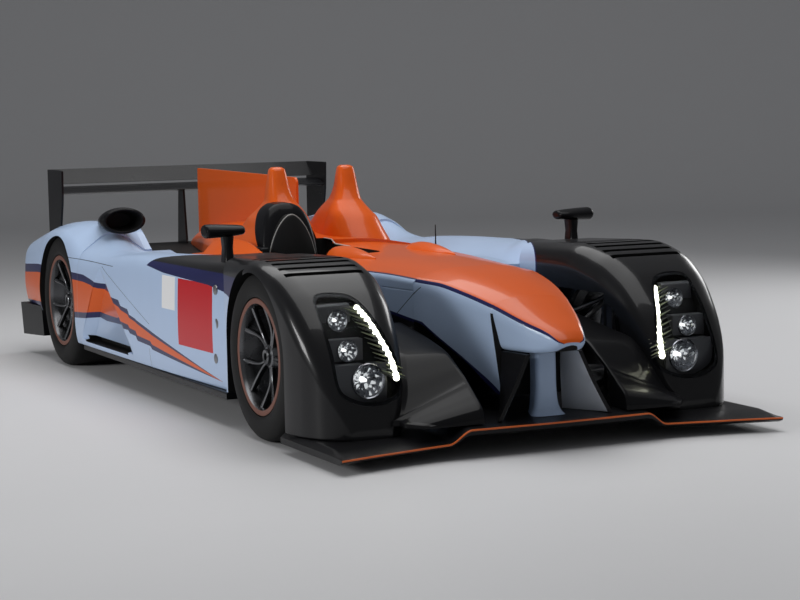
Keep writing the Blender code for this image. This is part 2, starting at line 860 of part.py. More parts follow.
def engine_cover():
    rings = []
    for y in between(ENGINE_COVER):
        half, shoulder, crown = through(ENGINE_COVER, y)
        base = DECK_TOP + GAP
        corners = (
            (-half, base, 0.005, 0.005),
            (half, base, 0.005, 0.005),
            (half, shoulder, 0.05, 0.06),
            (0.4 * half, crown, 0.10, 0.10),
            (-0.4 * half, crown, 0.10, 0.10),
            (-half, shoulder, 0.06, 0.05),
        )
        rings.append(ring_at(y, corners, 3))
    cover = loft("engine_cover", rings, "orange_paint")
    return fuse(cover, hump_core(-1), hump_core(1))


def hump_core(side, margin=0.0):
    """The bulge over one roll hoop, wider all round by a margin."""
    rings = []
    for z, inner, outer, front, rear in HUMP:
        inner, outer, front, rear = inner - margin, outer + margin, front - margin, rear + margin
        wide, deep = outer - inner, rear - front
        outline = rounded(
            (
                (inner, front, 0.42 * deep, 0.45 * wide),
                (outer, front, 0.45 * wide, 0.42 * deep),
                (outer - 0.2 * wide, rear, 0.42 * deep, 0.2 * wide),
                (inner + 0.2 * wide, rear, 0.2 * wide, 0.42 * deep),
            )
        )
        rings.append([Vector((side * x, y, z)) for x, y in outline])
    return loft("roll_hump", rings, "orange_paint")


def tail_fin():
    outline = rounded(
        (
            (FIN_FRONT, 0.700, 0.01, 0.01),
            (FIN_REAR, DECK_TOP + 0.012, 0.002, 0.002),
            (FIN_REAR, FIN_TOP_REAR, 0.01, 0.01),
            (FIN_FRONT, FIN_TOP_FRONT, 0.04, 0.04),
        ),
        3,
    )
    fin = prism("tail_fin", outline, "X", -FIN_HALF, FIN_HALF, "orange_paint")
    return seat_on(fin, "engine_cover")


def wing():
    main = rounded(
        (
            (WING_FRONT, 0.915, 0.015, 0.015),
            (2.120, 0.898, 0.04, 0.04),
            (2.215, 0.948, 0.002, 0.002),
            (2.110, 0.938, 0.05, 0.03),
        ),
        3,
    )
    flap = rounded(
        (
            (2.195, 0.960, 0.010, 0.010),
            (2.260, 0.968, 0.03, 0.03),
            (TAIL, WING_TOP, 0.002, 0.002),
            (2.240, 0.990, 0.03, 0.02),
        ),
        3,
    )
    plane = prism("wing_main", main, "X", -WING_HALF + GAP, WING_HALF - GAP, "carbon")
    prism("wing_flap", flap, "X", -WING_HALF + GAP, WING_HALF - GAP, "carbon")
    plate = rounded(
        (
            (2.110, 0.660, 0.01, 0.01),
            (TAIL, 0.660, 0.01, 0.01),
            (TAIL, WING_TOP, 0.01, 0.01),
            (WING_FRONT, WING_TOP, 0.01, 0.01),
            (WING_FRONT + 0.010, 0.870, 0.05, 0.05),
        ),
        2,
    )
    endplate = prism("wing_endplate", plate, "X", WING_HALF, WING_HALF + ENDPLATE, "carbon")
    pair("wing_endplate", seat_on(endplate, "rear_fender_left"))
    post = [
        (2.030, DECK_TOP + GAP),
        (2.180, DECK_TOP + GAP),
        (2.150, 0.920),
        (2.070, 0.920),
    ]
    for side in (-1, 1):
        middle = side * PYLON_X
        fuse(plane, prism("pylon", post, "X", middle - PLATE / 2, middle + PLATE / 2, "carbon"))


def scoop():
    """The oval snorkel on the right rear fender."""
    rings = []
    # Snorkel: y, z, half_x, half_z
    for y, z, half_x, half_z in (
        (1.060, 0.812, 0.100, 0.058),
        (1.100, 0.812, 0.122, 0.070),
        (1.160, 0.812, 0.110, 0.062),
        (1.280, 0.800, 0.080, 0.040),
        (1.400, 0.790, 0.030, 0.018),
    ):
        turn = [2 * math.pi * k / 20 for k in range(20)]
        rings.append(
            [Vector((-0.755 + half_x * math.cos(a), y, z + half_z * math.sin(a))) for a in turn]
        )
    return seat_on(loft("scoop", rings, "carbon"), "side_pod_right", "rear_fender_right")


def mirror():
    base = Vector((0.870, -0.800, 0.700))
    # Stalk, seen from above: aside, along
    stalk = ((-0.020, -0.035), (0.020, -0.035), (0.012, 0.045), (-0.012, 0.045))
    outline = [(base.x + aside, base.y + along) for aside, along in stalk]
    piece = prism("mirror", outline, "Z", base.z - 0.03, 0.825, "carbon")
    rings = []
    # Housing: x, half_y, half_z
    for x, half_y, half_z in (
        (0.790, 0.030, 0.010),
        (0.800, 0.045, 0.020),
        (0.880, 0.055, 0.026),
        (0.960, 0.045, 0.022),
        (0.975, 0.030, 0.010),
    ):
        turn = [2 * math.pi * k / 12 for k in range(12)]
        rings.append(
            [Vector((x, -0.790 + half_y * math.cos(a), 0.846 + half_z * math.sin(a))) for a in turn]
        )
    fuse(piece, loft("housing", rings, "carbon"))
    seat_on(piece, "side_pod_left")
    pair("mirror", piece)


def cockpit_pieces():
    half = (COCKPIT_LEFT - COCKPIT_RIGHT) / 2
    back = COCKPIT_BACK - GAP
    # Seat: y, z_low, z_top
    section = [
        (back - 0.480, COCKPIT_FLOOR + GAP),
        (back, COCKPIT_FLOOR + GAP),
        (back, 0.560),
        (back - 0.060, 0.560),
        (back - 0.160, 0.240),
        (back - 0.480, 0.260),
    ]
    prism("seat", section, "X", SEAT_X - half + 0.04, SEAT_X + half - 0.04, "cockpit_trim")
    rings = []
    # Headrest: z, half, front (y), back (y)
    for z, wide, front, rear in (
        (0.560 + GAP, 0.130, back - 0.060, back),
        (0.7265, 0.150, back - 0.050, back),
        (0.7275, 0.150, back - 0.050, 0.015),
        (0.790, 0.140, back - 0.035, 0.055),
        (0.850, 0.120, back - 0.020, 0.110),
        (0.895, 0.085, back - 0.005, 0.140),
        (0.915, 0.045, back + 0.010, 0.140),
    ):
        outline = rounded(
            (
                (SEAT_X - wide, front, 0.03, 0.04),
                (SEAT_X + wide, front, 0.04, 0.03),
                (SEAT_X + wide, rear, 0.01, 0.01),
                (SEAT_X - wide, rear, 0.01, 0.01),
            ),
            2,
        )
        rings.append([Vector((x, y, z)) for x, y in outline])
    headrest = loft("headrest", rings, "cockpit_trim")
    carve(headrest, hump_core(SEAT_SIDE, HEADREST_GAP))
    column = bar(
        "column",
        (SEAT_X, COCKPIT_FRONT + GAP, COLUMN_HIGH),
        (SEAT_X, COCKPIT_FRONT + 0.120, COLUMN_HIGH),
        0.018,
        "cockpit_trim",
    )
    rim_outline = rounded(
        (
            (SEAT_X - 0.130, 0.490, 0.05, 0.05),
            (SEAT_X + 0.130, 0.490, 0.05, 0.05),
            (SEAT_X + 0.130, 0.650, 0.05, 0.05),
            (SEAT_X - 0.130, 0.650, 0.05, 0.05),
        ),
        3,
    )
    wheel = prism(
        "steering_wheel", rim_outline, "Y", COCKPIT_FRONT + 0.110, COCKPIT_FRONT + 0.135, "cockpit_trim"
    )
    fuse(wheel, column)


def tyre(stem, axle, width):
    half = width / 2
    bead = half - BEAD_INSET
    inner = RIM_RADIUS + GAP
    # Tyre profile: x, radius
    right = (
        (bead, inner),
        (bead, RIM_RADIUS + RIM_LIP + 0.003),
        (half - 0.003, RIM_RADIUS + 0.034),
        (half, 0.290),
        (half - 0.010, 0.335),
        (half - 0.030, TYRE_RADIUS - 0.004),
        (half - 0.070, TYRE_RADIUS),
    )
    profile = list(right) + [(-x, r) for x, r in reversed(right)]
    centre = (TYRE_FACE - half, axle, TYRE_RADIUS)
    piece = turned(stem, profile, centre, "tyre_rubber")
    hinge_at(piece, centre)
    pair(stem, piece)


def rim(stem, axle, width, hub_inner):
    half = width / 2
    bead = half - BEAD_INSET + GAP
    centre = Vector((TYRE_FACE - half, axle, TYRE_RADIUS))
    lip = RIM_RADIUS + RIM_LIP
    wall = RIM_RADIUS - RIM_WALL
    profile = [
        (-bead, RIM_RADIUS),
        (bead, RIM_RADIUS),
        (bead, lip),
        (half - 0.008, lip),
        (half - 0.008, wall),
        (-half + 0.008, wall),
        (-half + 0.008, lip),
        (-bead, lip),
    ]
    piece = turned(stem, profile, centre, "wheel_metal")
    spoke_x = half - 0.058
    inner_x = hub_inner - centre.x
    hub = disc("hub", inner_x, half - HUB_FACE + 0.020, HUB_RADIUS, centre, "wheel_metal", HUB_SEGMENTS)
    for pair_number in range(SPOKE_PAIRS):
        for side in (-1, 1):
            middle = 2 * math.pi * pair_number / SPOKE_PAIRS + math.pi / 2
            start = on_wheel(centre, spoke_x, SPOKE_ROOT, middle + side * SPOKE_SPREAD * 1.3)
            end = on_wheel(centre, spoke_x + 0.012, wall + 0.002, middle + side * SPOKE_SPREAD)
            fuse(hub, spoke(start, end))
    fuse(piece, hub)
    rotor_x = inner_x + DISC_SET
    rotor = disc("rotor", rotor_x, rotor_x + DISC_THICK, DISC_RADIUS, centre, "steel", DISC_SEGMENTS)
    fuse(piece, rotor)
    hinge_at(piece, centre)
    pair(stem, piece)


def on_wheel(centre, x, radius, angle):
    """A point at a wheel's radius and angle, x outwards from its middle."""
    return centre + Vector((x, radius * math.cos(angle), radius * math.sin(angle)))


def spoke(start, end):
    """One bar of the wheel, between the hub and the rim."""
    along = (end - start).normalized()
    deep = Vector((1, 0, 0))
    aside = along.cross(deep).normalized()
    rings = []
    for place, wide in ((start, SPOKE_WIDTH * 1.2), (end, SPOKE_WIDTH)):
        half_a, half_d = aside * wide / 2, deep * SPOKE_DEPTH / 2
        near, far = place - half_d, place + half_d
        rings.append([near - half_a, near + half_a, far + half_a, far - half_a])
    return loft("spoke", rings, "wheel_metal")


def knuckle_block(name, axle):
    """The upright that carries a wheel, with its stub towards the hub."""
    low_x = KINGPIN - KNUCKLE_THICK / 2
    outline = rounded(
        (
            (axle - KNUCKLE_HALF, TYRE_RADIUS - KNUCKLE_HIGH, 0.02, 0.02),
            (axle + KNUCKLE_HALF, TYRE_RADIUS - KNUCKLE_HIGH, 0.02, 0.02),
            (axle + KNUCKLE_HALF, TYRE_RADIUS + KNUCKLE_HIGH, 0.02, 0.02),
            (axle - KNUCKLE_HALF, TYRE_RADIUS + KNUCKLE_HIGH, 0.02, 0.02),
        ),
        2,
    )
    return prism(name, outline, "X", low_x, low_x + KNUCKLE_THICK, "alloy")


def knuckles():
    piece = knuckle_block("front_knuckle", FRONT_AXLE)
    hinge_at(piece, (KINGPIN, FRONT_AXLE, TYRE_RADIUS))
    pair("front_knuckle", piece)


def wishbones(name, axle, inner_low, inner_high, spread, end_x, tip_high):
    """An upper and a lower arm pair on one mounting rail beside the chassis."""
    rail = box(
        name,
        (inner_low, axle - spread - 0.02, 0.180),
        (inner_high, axle + spread + 0.02, 0.530),
        "steel",
    )
    hollow = box(
        "hollow",
        (inner_low - 0.1, axle - spread + 0.02, 0.215),
        (inner_high + 0.1, axle + spread - 0.02, 0.495),
        "steel",
    )
    carve(rail, hollow)
    for sign in (-1, 1):
        tip_z = TYRE_RADIUS + sign * tip_high
        base_z = 0.198 if sign < 0 else 0.512
        for way in (-1, 1):
            arm = bar(
                "arm",
                (inner_low + 0.004, axle + way * spread, base_z),
                (end_x, axle, tip_z),
                ARM_RADIUS,
                "steel",
            )
            fuse(rail, arm)
        cap = bar(
            "cap",
            (end_x, axle, tip_z - 0.013),
            (end_x, axle, tip_z + 0.013),
            0.020,
            "steel",
            12,
        )
        fuse(rail, cap)
    return rail


def front_suspension():
    reach = KNUCKLE_HIGH + 0.0135
    side_room = tub_half(FRONT_AXLE + ARM_SPREAD + 0.02) + GAP
    pair(
        "front_suspension",
        wishbones("front_suspension", FRONT_AXLE, side_room, side_room + 0.03, ARM_SPREAD, KINGPIN, reach),
    )


def rear_suspension():
    piece = wishbones(
        "rear_suspension", REAR_AXLE, 0.140 + GAP, 0.175, 0.180, KINGPIN, KNUCKLE_HIGH - 0.02
    )
    fuse(piece, knuckle_block("upright", REAR_AXLE))
    pair("rear_suspension", piece)


def main():
    clear_scene()
    front_fender()
    headlamp()
    nose()
    nose_supports()
    splitter()
    floor()
    diffuser()
    tub_and_cowl()
    side_pod()
    rear_fender()
    rear_deck()
    engine_bay()
    engine_cover()
    tail_fin()
    wing()
    scoop()
    mirror()
    cockpit_pieces()
    hub_inner = KINGPIN + KNUCKLE_THICK / 2 + 0.0005
    for stem, axle, width in (
        ("front", FRONT_AXLE, FRONT_TYRE_WIDTH),
        ("rear", REAR_AXLE, REAR_TYRE_WIDTH),
    ):
        tyre(stem + "_tyre", axle, width)
        rim(stem + "_rim", axle, width, hub_inner)
    knuckles()
    front_suspension()
    rear_suspension()
    shade()


main()
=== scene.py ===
"""Looks of the open-cockpit endurance race car, in metres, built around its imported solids.

Laid out as an add-on and run as a script: each group of pieces has an operator, and main() calls them
in order. +Z is up, the nose points towards -Y, and pieces of the left side are made at +X and mirrored.
"""

import functools
import math

import bmesh
import bpy
import numpy as np
from mathutils import Matrix, Vector


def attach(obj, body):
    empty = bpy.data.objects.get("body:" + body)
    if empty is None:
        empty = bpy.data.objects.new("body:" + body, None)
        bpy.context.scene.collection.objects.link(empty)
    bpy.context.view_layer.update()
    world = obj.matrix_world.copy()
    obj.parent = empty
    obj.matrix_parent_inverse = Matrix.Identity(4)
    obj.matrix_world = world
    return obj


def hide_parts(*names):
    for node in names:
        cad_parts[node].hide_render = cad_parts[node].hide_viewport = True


bl_info = {
    "name": "Endurance Race Car Looks",
    "version": (1, 0, 0),
    "blender": (4, 5, 0),
    "location": "View3D > Sidebar > Race Car",
    "description": "Paint, carbon, glass, lamps, wheels and fine forms of an open-cockpit race car",
    "category": "Object",
}

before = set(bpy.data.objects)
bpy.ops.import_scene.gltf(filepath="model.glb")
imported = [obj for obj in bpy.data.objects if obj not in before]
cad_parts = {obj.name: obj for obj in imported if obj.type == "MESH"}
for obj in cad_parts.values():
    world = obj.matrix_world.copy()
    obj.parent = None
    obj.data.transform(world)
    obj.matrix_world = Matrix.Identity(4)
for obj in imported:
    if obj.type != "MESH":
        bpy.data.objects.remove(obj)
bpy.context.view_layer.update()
CHASSIS = "chassis"
SIDES = (("left", 1), ("right", -1))

# Camera of the photograph
CAMERA_PLACE = (-4.00075, -9.33206, 1.40379)
CAMERA_YAW = math.radians(24.9202)
CAMERA_PITCH = math.radians(5.545)
CAMERA_ROLL = math.radians(-1.1536)
CAMERA_LENS = 92.747
SENSOR_WIDTH = 36.0

# Stations and heights shared with the solids
GAP = 0.0003
TAIL = 2.325
SPLITTER_BACK = -1.480
FRONT_AXLE = -1.396
REAR_AXLE = 1.573
TYRE_RADIUS = 0.355
TYRE_FACE = 0.975
FRONT_TYRE_WIDTH = 0.360
REAR_TYRE_WIDTH = 0.370
RIM_RADIUS = 0.2286
BEAD_INSET = 0.018
KINGPIN = 0.730
KNUCKLE_THICK = 0.050
ARM_SPREAD = 0.200
ARM_TIP = 0.1485
ARM_RADIUS = 0.011
BUSH_RADIUS = 0.017
JOINT_RADIUS = 0.020
RAIL_LOW = 0.180
RAIL_HIGH = 0.358
RAIL_WALL = 0.035
WELL_FRONT_HALF = 0.412
WELL_REAR_HALF = 0.390
WELL_TOP = 0.725
WELL_SPRING = 0.400
WELL_SLOPE = 0.080
FENDER_INNER = 0.500
INNER_WALL = 0.015
LIP_RADIUS = 0.352
LIP_INNER = 0.985
WINDOW_TOP = 0.560
WINDOW_REACH = 0.300
FLOOR_TOP = 0.085
SHELF_LOW = 0.125
SHELF_TOP = 0.155
SILL = SHELF_TOP + 3 * GAP
FENDER_END = FRONT_AXLE + 0.436
POD_START = FENDER_END + GAP
POD_END = REAR_AXLE - 0.408
TAIL_START = POD_END + GAP
TUB_TOP = 0.600
DECK_TOP = 0.600
REAR_INNER = 0.575
REAR_NECK = 0.565
COCKPIT_FRONT = -0.640
COCKPIT_BACK = -0.060
COCKPIT_LEFT = -0.025
COCKPIT_RIGHT = -0.425
COCKPIT_FLOOR = 0.130
COWL_END = 0.000
REST_BACK = 0.110
SEAT_X = (COCKPIT_LEFT + COCKPIT_RIGHT) / 2
REST_X = -0.256
WING_HALF = 0.800
ENDPLATE = 0.012
WING_FRONT = 2.030
WING_TOP = 1.045
# Height from which cutters start, under the car
BELOW = -0.1
# Lamp outlines are carried this far back from the fender's tip
LAMP_REACH = 0.8

# Front fender: off (from the axle), inner, outer, top, side_reach, side_drop, inner_reach, inner_drop
FRONT_FENDER = (
    (-0.664, 0.665, 0.840, 0.115, 0.050, 0.012, 0.050, 0.012),
    (-0.654, 0.645, 0.868, 0.200, 0.070, 0.050, 0.060, 0.050),
    (-0.624, 0.610, 0.905, 0.300, 0.090, 0.080, 0.080, 0.080),
    (-0.564, 0.575, 0.948, 0.420, 0.110, 0.110, 0.100, 0.110),
    (-0.474, 0.545, 0.978, 0.540, 0.120, 0.120, 0.120, 0.140),
    (-0.354, 0.520, 0.994, 0.650, 0.110, 0.100, 0.130, 0.160),
    (-0.204, 0.503, 0.998, 0.722, 0.095, 0.070, 0.120, 0.150),
    (0.000, 0.500, 0.993, 0.755, 0.080, 0.050, 0.100, 0.120),
    (0.200, 0.500, 0.976, 0.750, 0.080, 0.060, 0.100, 0.110),
    (0.436, 0.500, 0.950, 0.742, 0.080, 0.070, 0.100, 0.100),
)

# Tub and cowl: y, half, low, edge, crown
TUB = (
    (-1.500, 0.300, 0.300, 0.650, 0.692),
    (-1.250, 0.322, 0.220, 0.659, 0.699),
    (-0.960, 0.370, 0.120, 0.662, 0.702),
    (-0.640, 0.430, 0.086, 0.664, 0.702),
    (-0.300, 0.460, 0.086, 0.668, 0.704),
    (0.000, 0.470, 0.086, 0.672, 0.708),
    (0.350, 0.470, 0.086, 0.680, 0.728),
)

# Side pod: y, outer, shoulder, crest_x, crest, deck_x, deck
SIDE_POD = (
    (-0.960, 0.950, 0.712, 0.600, 0.750, 0.505, 0.640),
    (-0.820, 0.956, 0.702, 0.615, 0.752, 0.520, 0.642),
    (-0.600, 0.965, 0.690, 0.700, 0.738, 0.550, 0.645),
    (-0.200, 0.978, 0.678, 0.800, 0.716, 0.575, 0.640),
    (0.200, 0.986, 0.672, 0.840, 0.700, 0.590, 0.635),
    (0.500, 0.991, 0.655, 0.820, 0.690, 0.600, 0.620),
    (0.800, 0.995, 0.630, 0.800, 0.670, 0.610, 0.620),
    (1.000, 0.997, 0.618, 0.790, 0.702, 0.620, 0.615),
    (1.165, 0.998, 0.620, 0.785, 0.760, 0.620, 0.630),
)

# Rear fender: off (from the axle), outer, shoulder, crest_x, crest, deck, low
REAR_FENDER = (
    (-0.408, 0.998, 0.620, 0.785, 0.774, 0.640, SILL),
    (-0.200, 0.998, 0.695, 0.792, 0.793, 0.744, SILL),
    (0.000, 0.998, 0.728, 0.797, 0.791, 0.754, SILL),
    (0.200, 0.996, 0.712, 0.797, 0.779, 0.740, SILL),
    (0.420, 0.990, 0.660, 0.791, 0.762, 0.704, 0.290),
    (0.600, 0.980, 0.630, 0.785, 0.732, 0.670, 0.290),
    (0.748, 0.968, 0.605, 0.780, 0.705, 0.640, 0.290),
)

# The nose's flanks reach down behind this station
NOSE_STEP = -1.990
NOSE_UNDER = 0.386
PILLAR_BACK = -1.995
# Nose: y, half, edge, crown, low_half, low
NOSE_SHAPE = (
    (-2.318, 0.040, 0.437, 0.441, 0.036, 0.430),
    (-2.310, 0.064, 0.446, 0.455, 0.056, 0.424),
    (-2.270, 0.090, 0.475, 0.486, 0.080, 0.404),
    (-2.150, 0.141, 0.518, 0.536, 0.115, 0.388),
    (NOSE_STEP, 0.188, 0.570, 0.598, 0.140, NOSE_UNDER),
    (-1.980, 0.191, 0.573, 0.602, 0.138, 0.195),
    (-1.780, 0.239, 0.620, 0.652, 0.211, 0.330),
    (-1.650, 0.263, 0.641, 0.675, 0.262, 0.408),
    (-1.560, 0.287, 0.647, 0.686, 0.290, 0.458),
    (-1.5003, 0.300, 0.650, 0.692, 0.299, 0.472),
)

# Bulge on the cowl: y, half, rise
BLISTER = (
    (-0.900, 0.006, 0.030),
    (-0.820, 0.034, 0.044),
    (-0.700, 0.058, 0.058),
    (-0.575, 0.068, 0.064),
    (-0.470, 0.058, 0.056),
    (-0.410, 0.036, 0.042),
)
BLISTER_X = 0.200
BLISTER_BASE = 0.665

# Tunnel roof between nose and front fender: y, inner_low, inner_top, outer_low, outer_top
DECK = 0.128 + GAP
TUNNEL_ROOF = (
    (-2.190, DECK, 0.148, DECK, 0.138),
    (-2.176, DECK, 0.190, DECK, 0.142),
    (-2.120, DECK, 0.235, DECK, 0.146),
    (-2.060, DECK, 0.277, DECK, 0.150),
    (-2.045, 0.266, 0.287, DECK, 0.156),
    (-2.020, 0.284, 0.304, 0.170, 0.190),
    (-1.960, 0.316, 0.336, 0.270, 0.290),
    (-1.870, 0.362, 0.382, 0.362, 0.382),
    (-1.750, 0.392, 0.412, 0.392, 0.412),
    (-1.600, 0.420, 0.440, 0.420, 0.440),
    (-1.440, 0.444, 0.464, 0.444, 0.464),
)
ROOF_INNER = 0.325
# Its outer edge ahead of the fender: y, outer
ROOF_FRONT = ((-2.190, 0.560), (-2.176, 0.590), (-2.120, 0.640))

# Splitter: x, lead (y), trail (y), low, front_top, top
SPLITTER = (
    (0.000, -2.245, SPLITTER_BACK, 0.086, 0.118, 0.128),
    (0.400, -2.235, SPLITTER_BACK, 0.086, 0.118, 0.128),
    (0.498, -2.225, -1.640, 0.045, 0.066, 0.085),
    (0.760, -2.262, -1.670, 0.040, 0.062, 0.085),
    (0.965, -2.316, -1.696, 0.040, 0.062, 0.085),
    (0.997, -2.325, -1.702, 0.040, 0.062, 0.066),
)

# Engine cover: y, half, shoulder, crown
ENGINE_COVER = (
    (0.0003, 0.470, 0.676, 0.726),
    (0.352, 0.440, 0.668, 0.735),
    (0.700, 0.390, 0.690, 0.765),
    (1.100, 0.300, 0.700, 0.765),
    (1.500, 0.200, 0.680, 0.740),
    (1.850, 0.110, 0.640, 0.690),
    (2.050, 0.050, 0.605, 0.625),
)

# Raised lip beside the driver: y, top
COCKPIT_LIP = (
    (-0.240, 0.652),
    (-0.107, 0.688),
    (0.000, 0.714),
    (0.086, 0.729),
    (0.235, 0.733),
    (0.400, 0.729),
    (0.546, 0.716),
    (0.689, 0.654),
)

# Round fasteners on the pod's side: y, z
SIDE_FASTENERS = ((-0.850, 0.593), (-0.859, 0.445), (-0.839, 0.289))
# Mast on the cowl: x, y, top
ANTENNA = (0.272, -0.550, 0.812)
# Light on the tail: low corner, high corner
TAIL_LIGHT = ((0.800, 2.312, 0.455), (0.885, TAIL - 0.0005, 0.585))

# Roll hump: z, inner, outer, front (y), rear (y)
HUMP = (
    (0.690, 0.004, 0.395, 0.020, 0.800),
    (0.770, 0.024, 0.352, 0.075, 0.660),
    (0.823, 0.042, 0.328, 0.115, 0.585),
    (0.850, 0.056, 0.302, 0.142, 0.540),
    (0.888, 0.082, 0.272, 0.188, 0.472),
    (0.912, 0.100, 0.258, 0.214, 0.436),
    (0.974, 0.124, 0.248, 0.246, 0.404),
    (1.050, 0.138, 0.236, 0.270, 0.380),
    (1.070, 0.144, 0.230, 0.278, 0.372),
    (1.080, 0.160, 0.214, 0.296, 0.352),
)

# Lamp opening in the fender's face, seen along Y: x, z
LAMP_OUTLINE = (
    (0.865, 0.634),
    (0.749, 0.637),
    (0.682, 0.597),
    (0.626, 0.474),
    (0.584, 0.315),
    (0.600, 0.255),
    (0.660, 0.222),
    (0.746, 0.212),
    (0.830, 0.234),
    (0.880, 0.286),
    (0.884, 0.435),
    (0.884, 0.560),
)
LAMP_MIDDLE = (0.745, 0.420)
LOUVRE_FIRST = -0.275
LOUVRE_PITCH = 0.072
LOUVRE_WIDE = 0.030
LOUVRE_SLANT = 0.045
LOUVRE_INNER = 0.590
LOUVRE_OUTER = 0.935
LAMP_POCKET = 0.075
FIN_COUNT = 18
# Lamps: x, z, radius, face (y), deep, shelf_low, shelf_high, shelf_inner
LAMPS = (
    (0.731, 0.305, 0.068, -1.980, 0.062, 0.200, 0.372, 0.650),
    (0.790, 0.4215, 0.043, -1.917, 0.044, 0.374, 0.468, 0.722),
    (0.788, 0.532, 0.043, -1.816, 0.034, 0.484, 0.600, 0.730),
)
# Light strip: x, y, z
LIGHT_STRIP = (
    (0.700, -1.822, 0.580),
    (0.668, -1.889, 0.515),
    (0.629, -1.970, 0.400),
    (0.616, -2.014, 0.312),
)

# Lower edge of the nose's flank: y, z
FLANK_EDGE = (
    (-1.980, 0.195),
    (-1.780, 0.330),
    (-1.560, 0.461),
    (-1.400, 0.478),
)

# Side stripe: y, navy_top, orange_top, orange_low, navy_low
STRIPE = (
    (-0.900, 0.190, 0.190, 0.190, 0.190),
    (-0.020, 0.334, 0.318, 0.272, 0.248),
    (0.000, 0.338, 0.322, 0.286, 0.262),
    (0.190, 0.370, 0.354, 0.296, 0.270),
    (0.210, 0.376, 0.360, 0.316, 0.290),
    (0.300, 0.388, 0.372, 0.322, 0.296),
    (0.320, 0.412, 0.386, 0.336, 0.310),
    (0.430, 0.420, 0.400, 0.342, 0.310),
    (0.460, 0.446, 0.412, 0.352, 0.310),
    (0.580, 0.452, 0.430, 0.357, 0.312),
    (0.620, 0.480, 0.446, 0.340, 0.312),
    (0.800, 0.499, 0.466, 0.342, 0.309),
    (0.920, 0.517, 0.488, 0.347, 0.318),
    (1.050, 0.532, 0.495, 0.335, 0.305),
    (1.266, 0.532, 0.495, 0.322, 0.291),
    (1.950, 0.532, 0.486, 0.319, 0.287),
    (2.330, 0.508, 0.462, 0.306, 0.270),
)
# Lower edge of the dark shoulder on the outer side: y, z
SHOULDER_EDGE = (
    (-1.330, 0.000),
    (-1.260, 0.500),
    (-1.151, 0.549),
    (-1.011, 0.584),
    (-0.758, 0.608),
    (-0.184, 0.625),
    (0.114, 0.648),
    (0.160, 0.900),
    (2.400, 0.900),
)
NAVY_FRONT = -1.300
SHOULDER_BACK = -0.820
SHOULDER_SLANT = 2.55
SHOULDER_X = 0.620
NAVY_TOP = 0.668
BORDER_HALF = 0.012
# Faces farther from the car's middle than this belong to its outer side
OUTER_SIDE = 0.90
# Blank panels on the side: low and high y, low and high z
RED_PANEL = ((-0.810, -0.390), (0.309, 0.613))
WHITE_PANEL = ((-0.352, -0.180), (0.461, 0.615))
# Gaps between the side's panels: width, then where they run
SEAM = 0.0012
UPPER_SEAM = 0.606
UPPER_SEAM_RUN = (0.561, 1.336)
SLANT_SEAM_RISE = 0.3065
SLANT_SEAM_START = 0.366
SLANT_SEAM_RUN = (0.003, 0.747)
UPRIGHT_SEAM = 0.020
UPRIGHT_SEAM_RUN = (0.158, 0.250)
# Gap between nose and tub
FLANK_SEAM = 0.0022
FLANK_SEAM_RISE = -0.652
FLANK_SEAM_START = 0.391
FLANK_SEAM_RUN = (-1.55, -1.30)
FLANK_SEAM_TOP = 0.622
# Navy line along the flank's lower edge, and where it and the black painted as shade deep in the air tunnels
# end on the tub
FLANK_LINE = 0.013
FLANK_LINE_END = -1.10
TUNNEL_SHADE_END = -0.97

SCOOP_X = -0.755
SCOOP_Z = 0.801
MIRROR_Y = -0.790
MIRROR_Z = 0.846
STALK_X = 0.870
STALK_Y = -0.795
# Stations of the pale line on the cockpit's far rim, a painted highlight
RIM_HIGHLIGHT_STATIONS = (0.100, 0.050, 0.002, -0.040, -0.090, -0.140, -0.190, -0.230)
PIPING_RADIUS = 0.0032


# Shapes


def through(table, at):
    """The table's columns at one station, on a monotone cubic through its rows."""
    rows = np.array(table, float)
    stations, values = rows[:, 0], rows[:, 1:]
    at = min(max(at, stations[0]), stations[-1])
    step = np.diff(stations)[:, None]
    slope = np.diff(values, axis=0) / step
    bend = np.zeros_like(values)
    bend[0], bend[-1] = slope[0], slope[-1]
    same = slope[:-1] * slope[1:] > 0
    mean = 2 * slope[:-1] * slope[1:] / np.where(same, slope[:-1] + slope[1:], 1)
    bend[1:-1] = np.where(same, mean, 0)
    i = min(int(np.searchsorted(stations, at, side="right")) - 1, len(stations) - 2)
    h = step[i, 0]
    t = (at - stations[i]) / h
    return (
        values[i] * (1 + 2 * t) * (1 - t) ** 2
        + bend[i] * h * t * (1 - t) ** 2
        + values[i + 1] * t * t * (3 - 2 * t)
        + bend[i + 1] * h * t * t * (t - 1)
    )


def between(table, extra):
    """The table's stations with some more between each two."""
    marks = [row[0] for row in table]
    out = []
    for low, high in zip(marks[:-1], marks[1:]):
        out += [low + (high - low) * k / (extra + 1) for k in range(extra + 1)]
    return out + [marks[-1]]


def rounded(corners, steps=8):
    """A closed outline whose corners (u, v, before, after) are rounded by those reaches."""
    out = []
    for i, (u, v, before, after) in enumerate(corners):
        here = Vector((u, v))
        last = Vector(corners[i - 1][:2]) - here
        following = Vector(corners[(i + 1) % len(corners)][:2]) - here
        start = here + last.normalized() * min(before, 0.49 * last.length)
        end = here + following.normalized() * min(after, 0.49 * following.length)
        for k in range(steps + 1):
            t = k / steps
            out.append(start * (1 - t) ** 2 + here * 2 * t * (1 - t) + end * t * t)
    return out


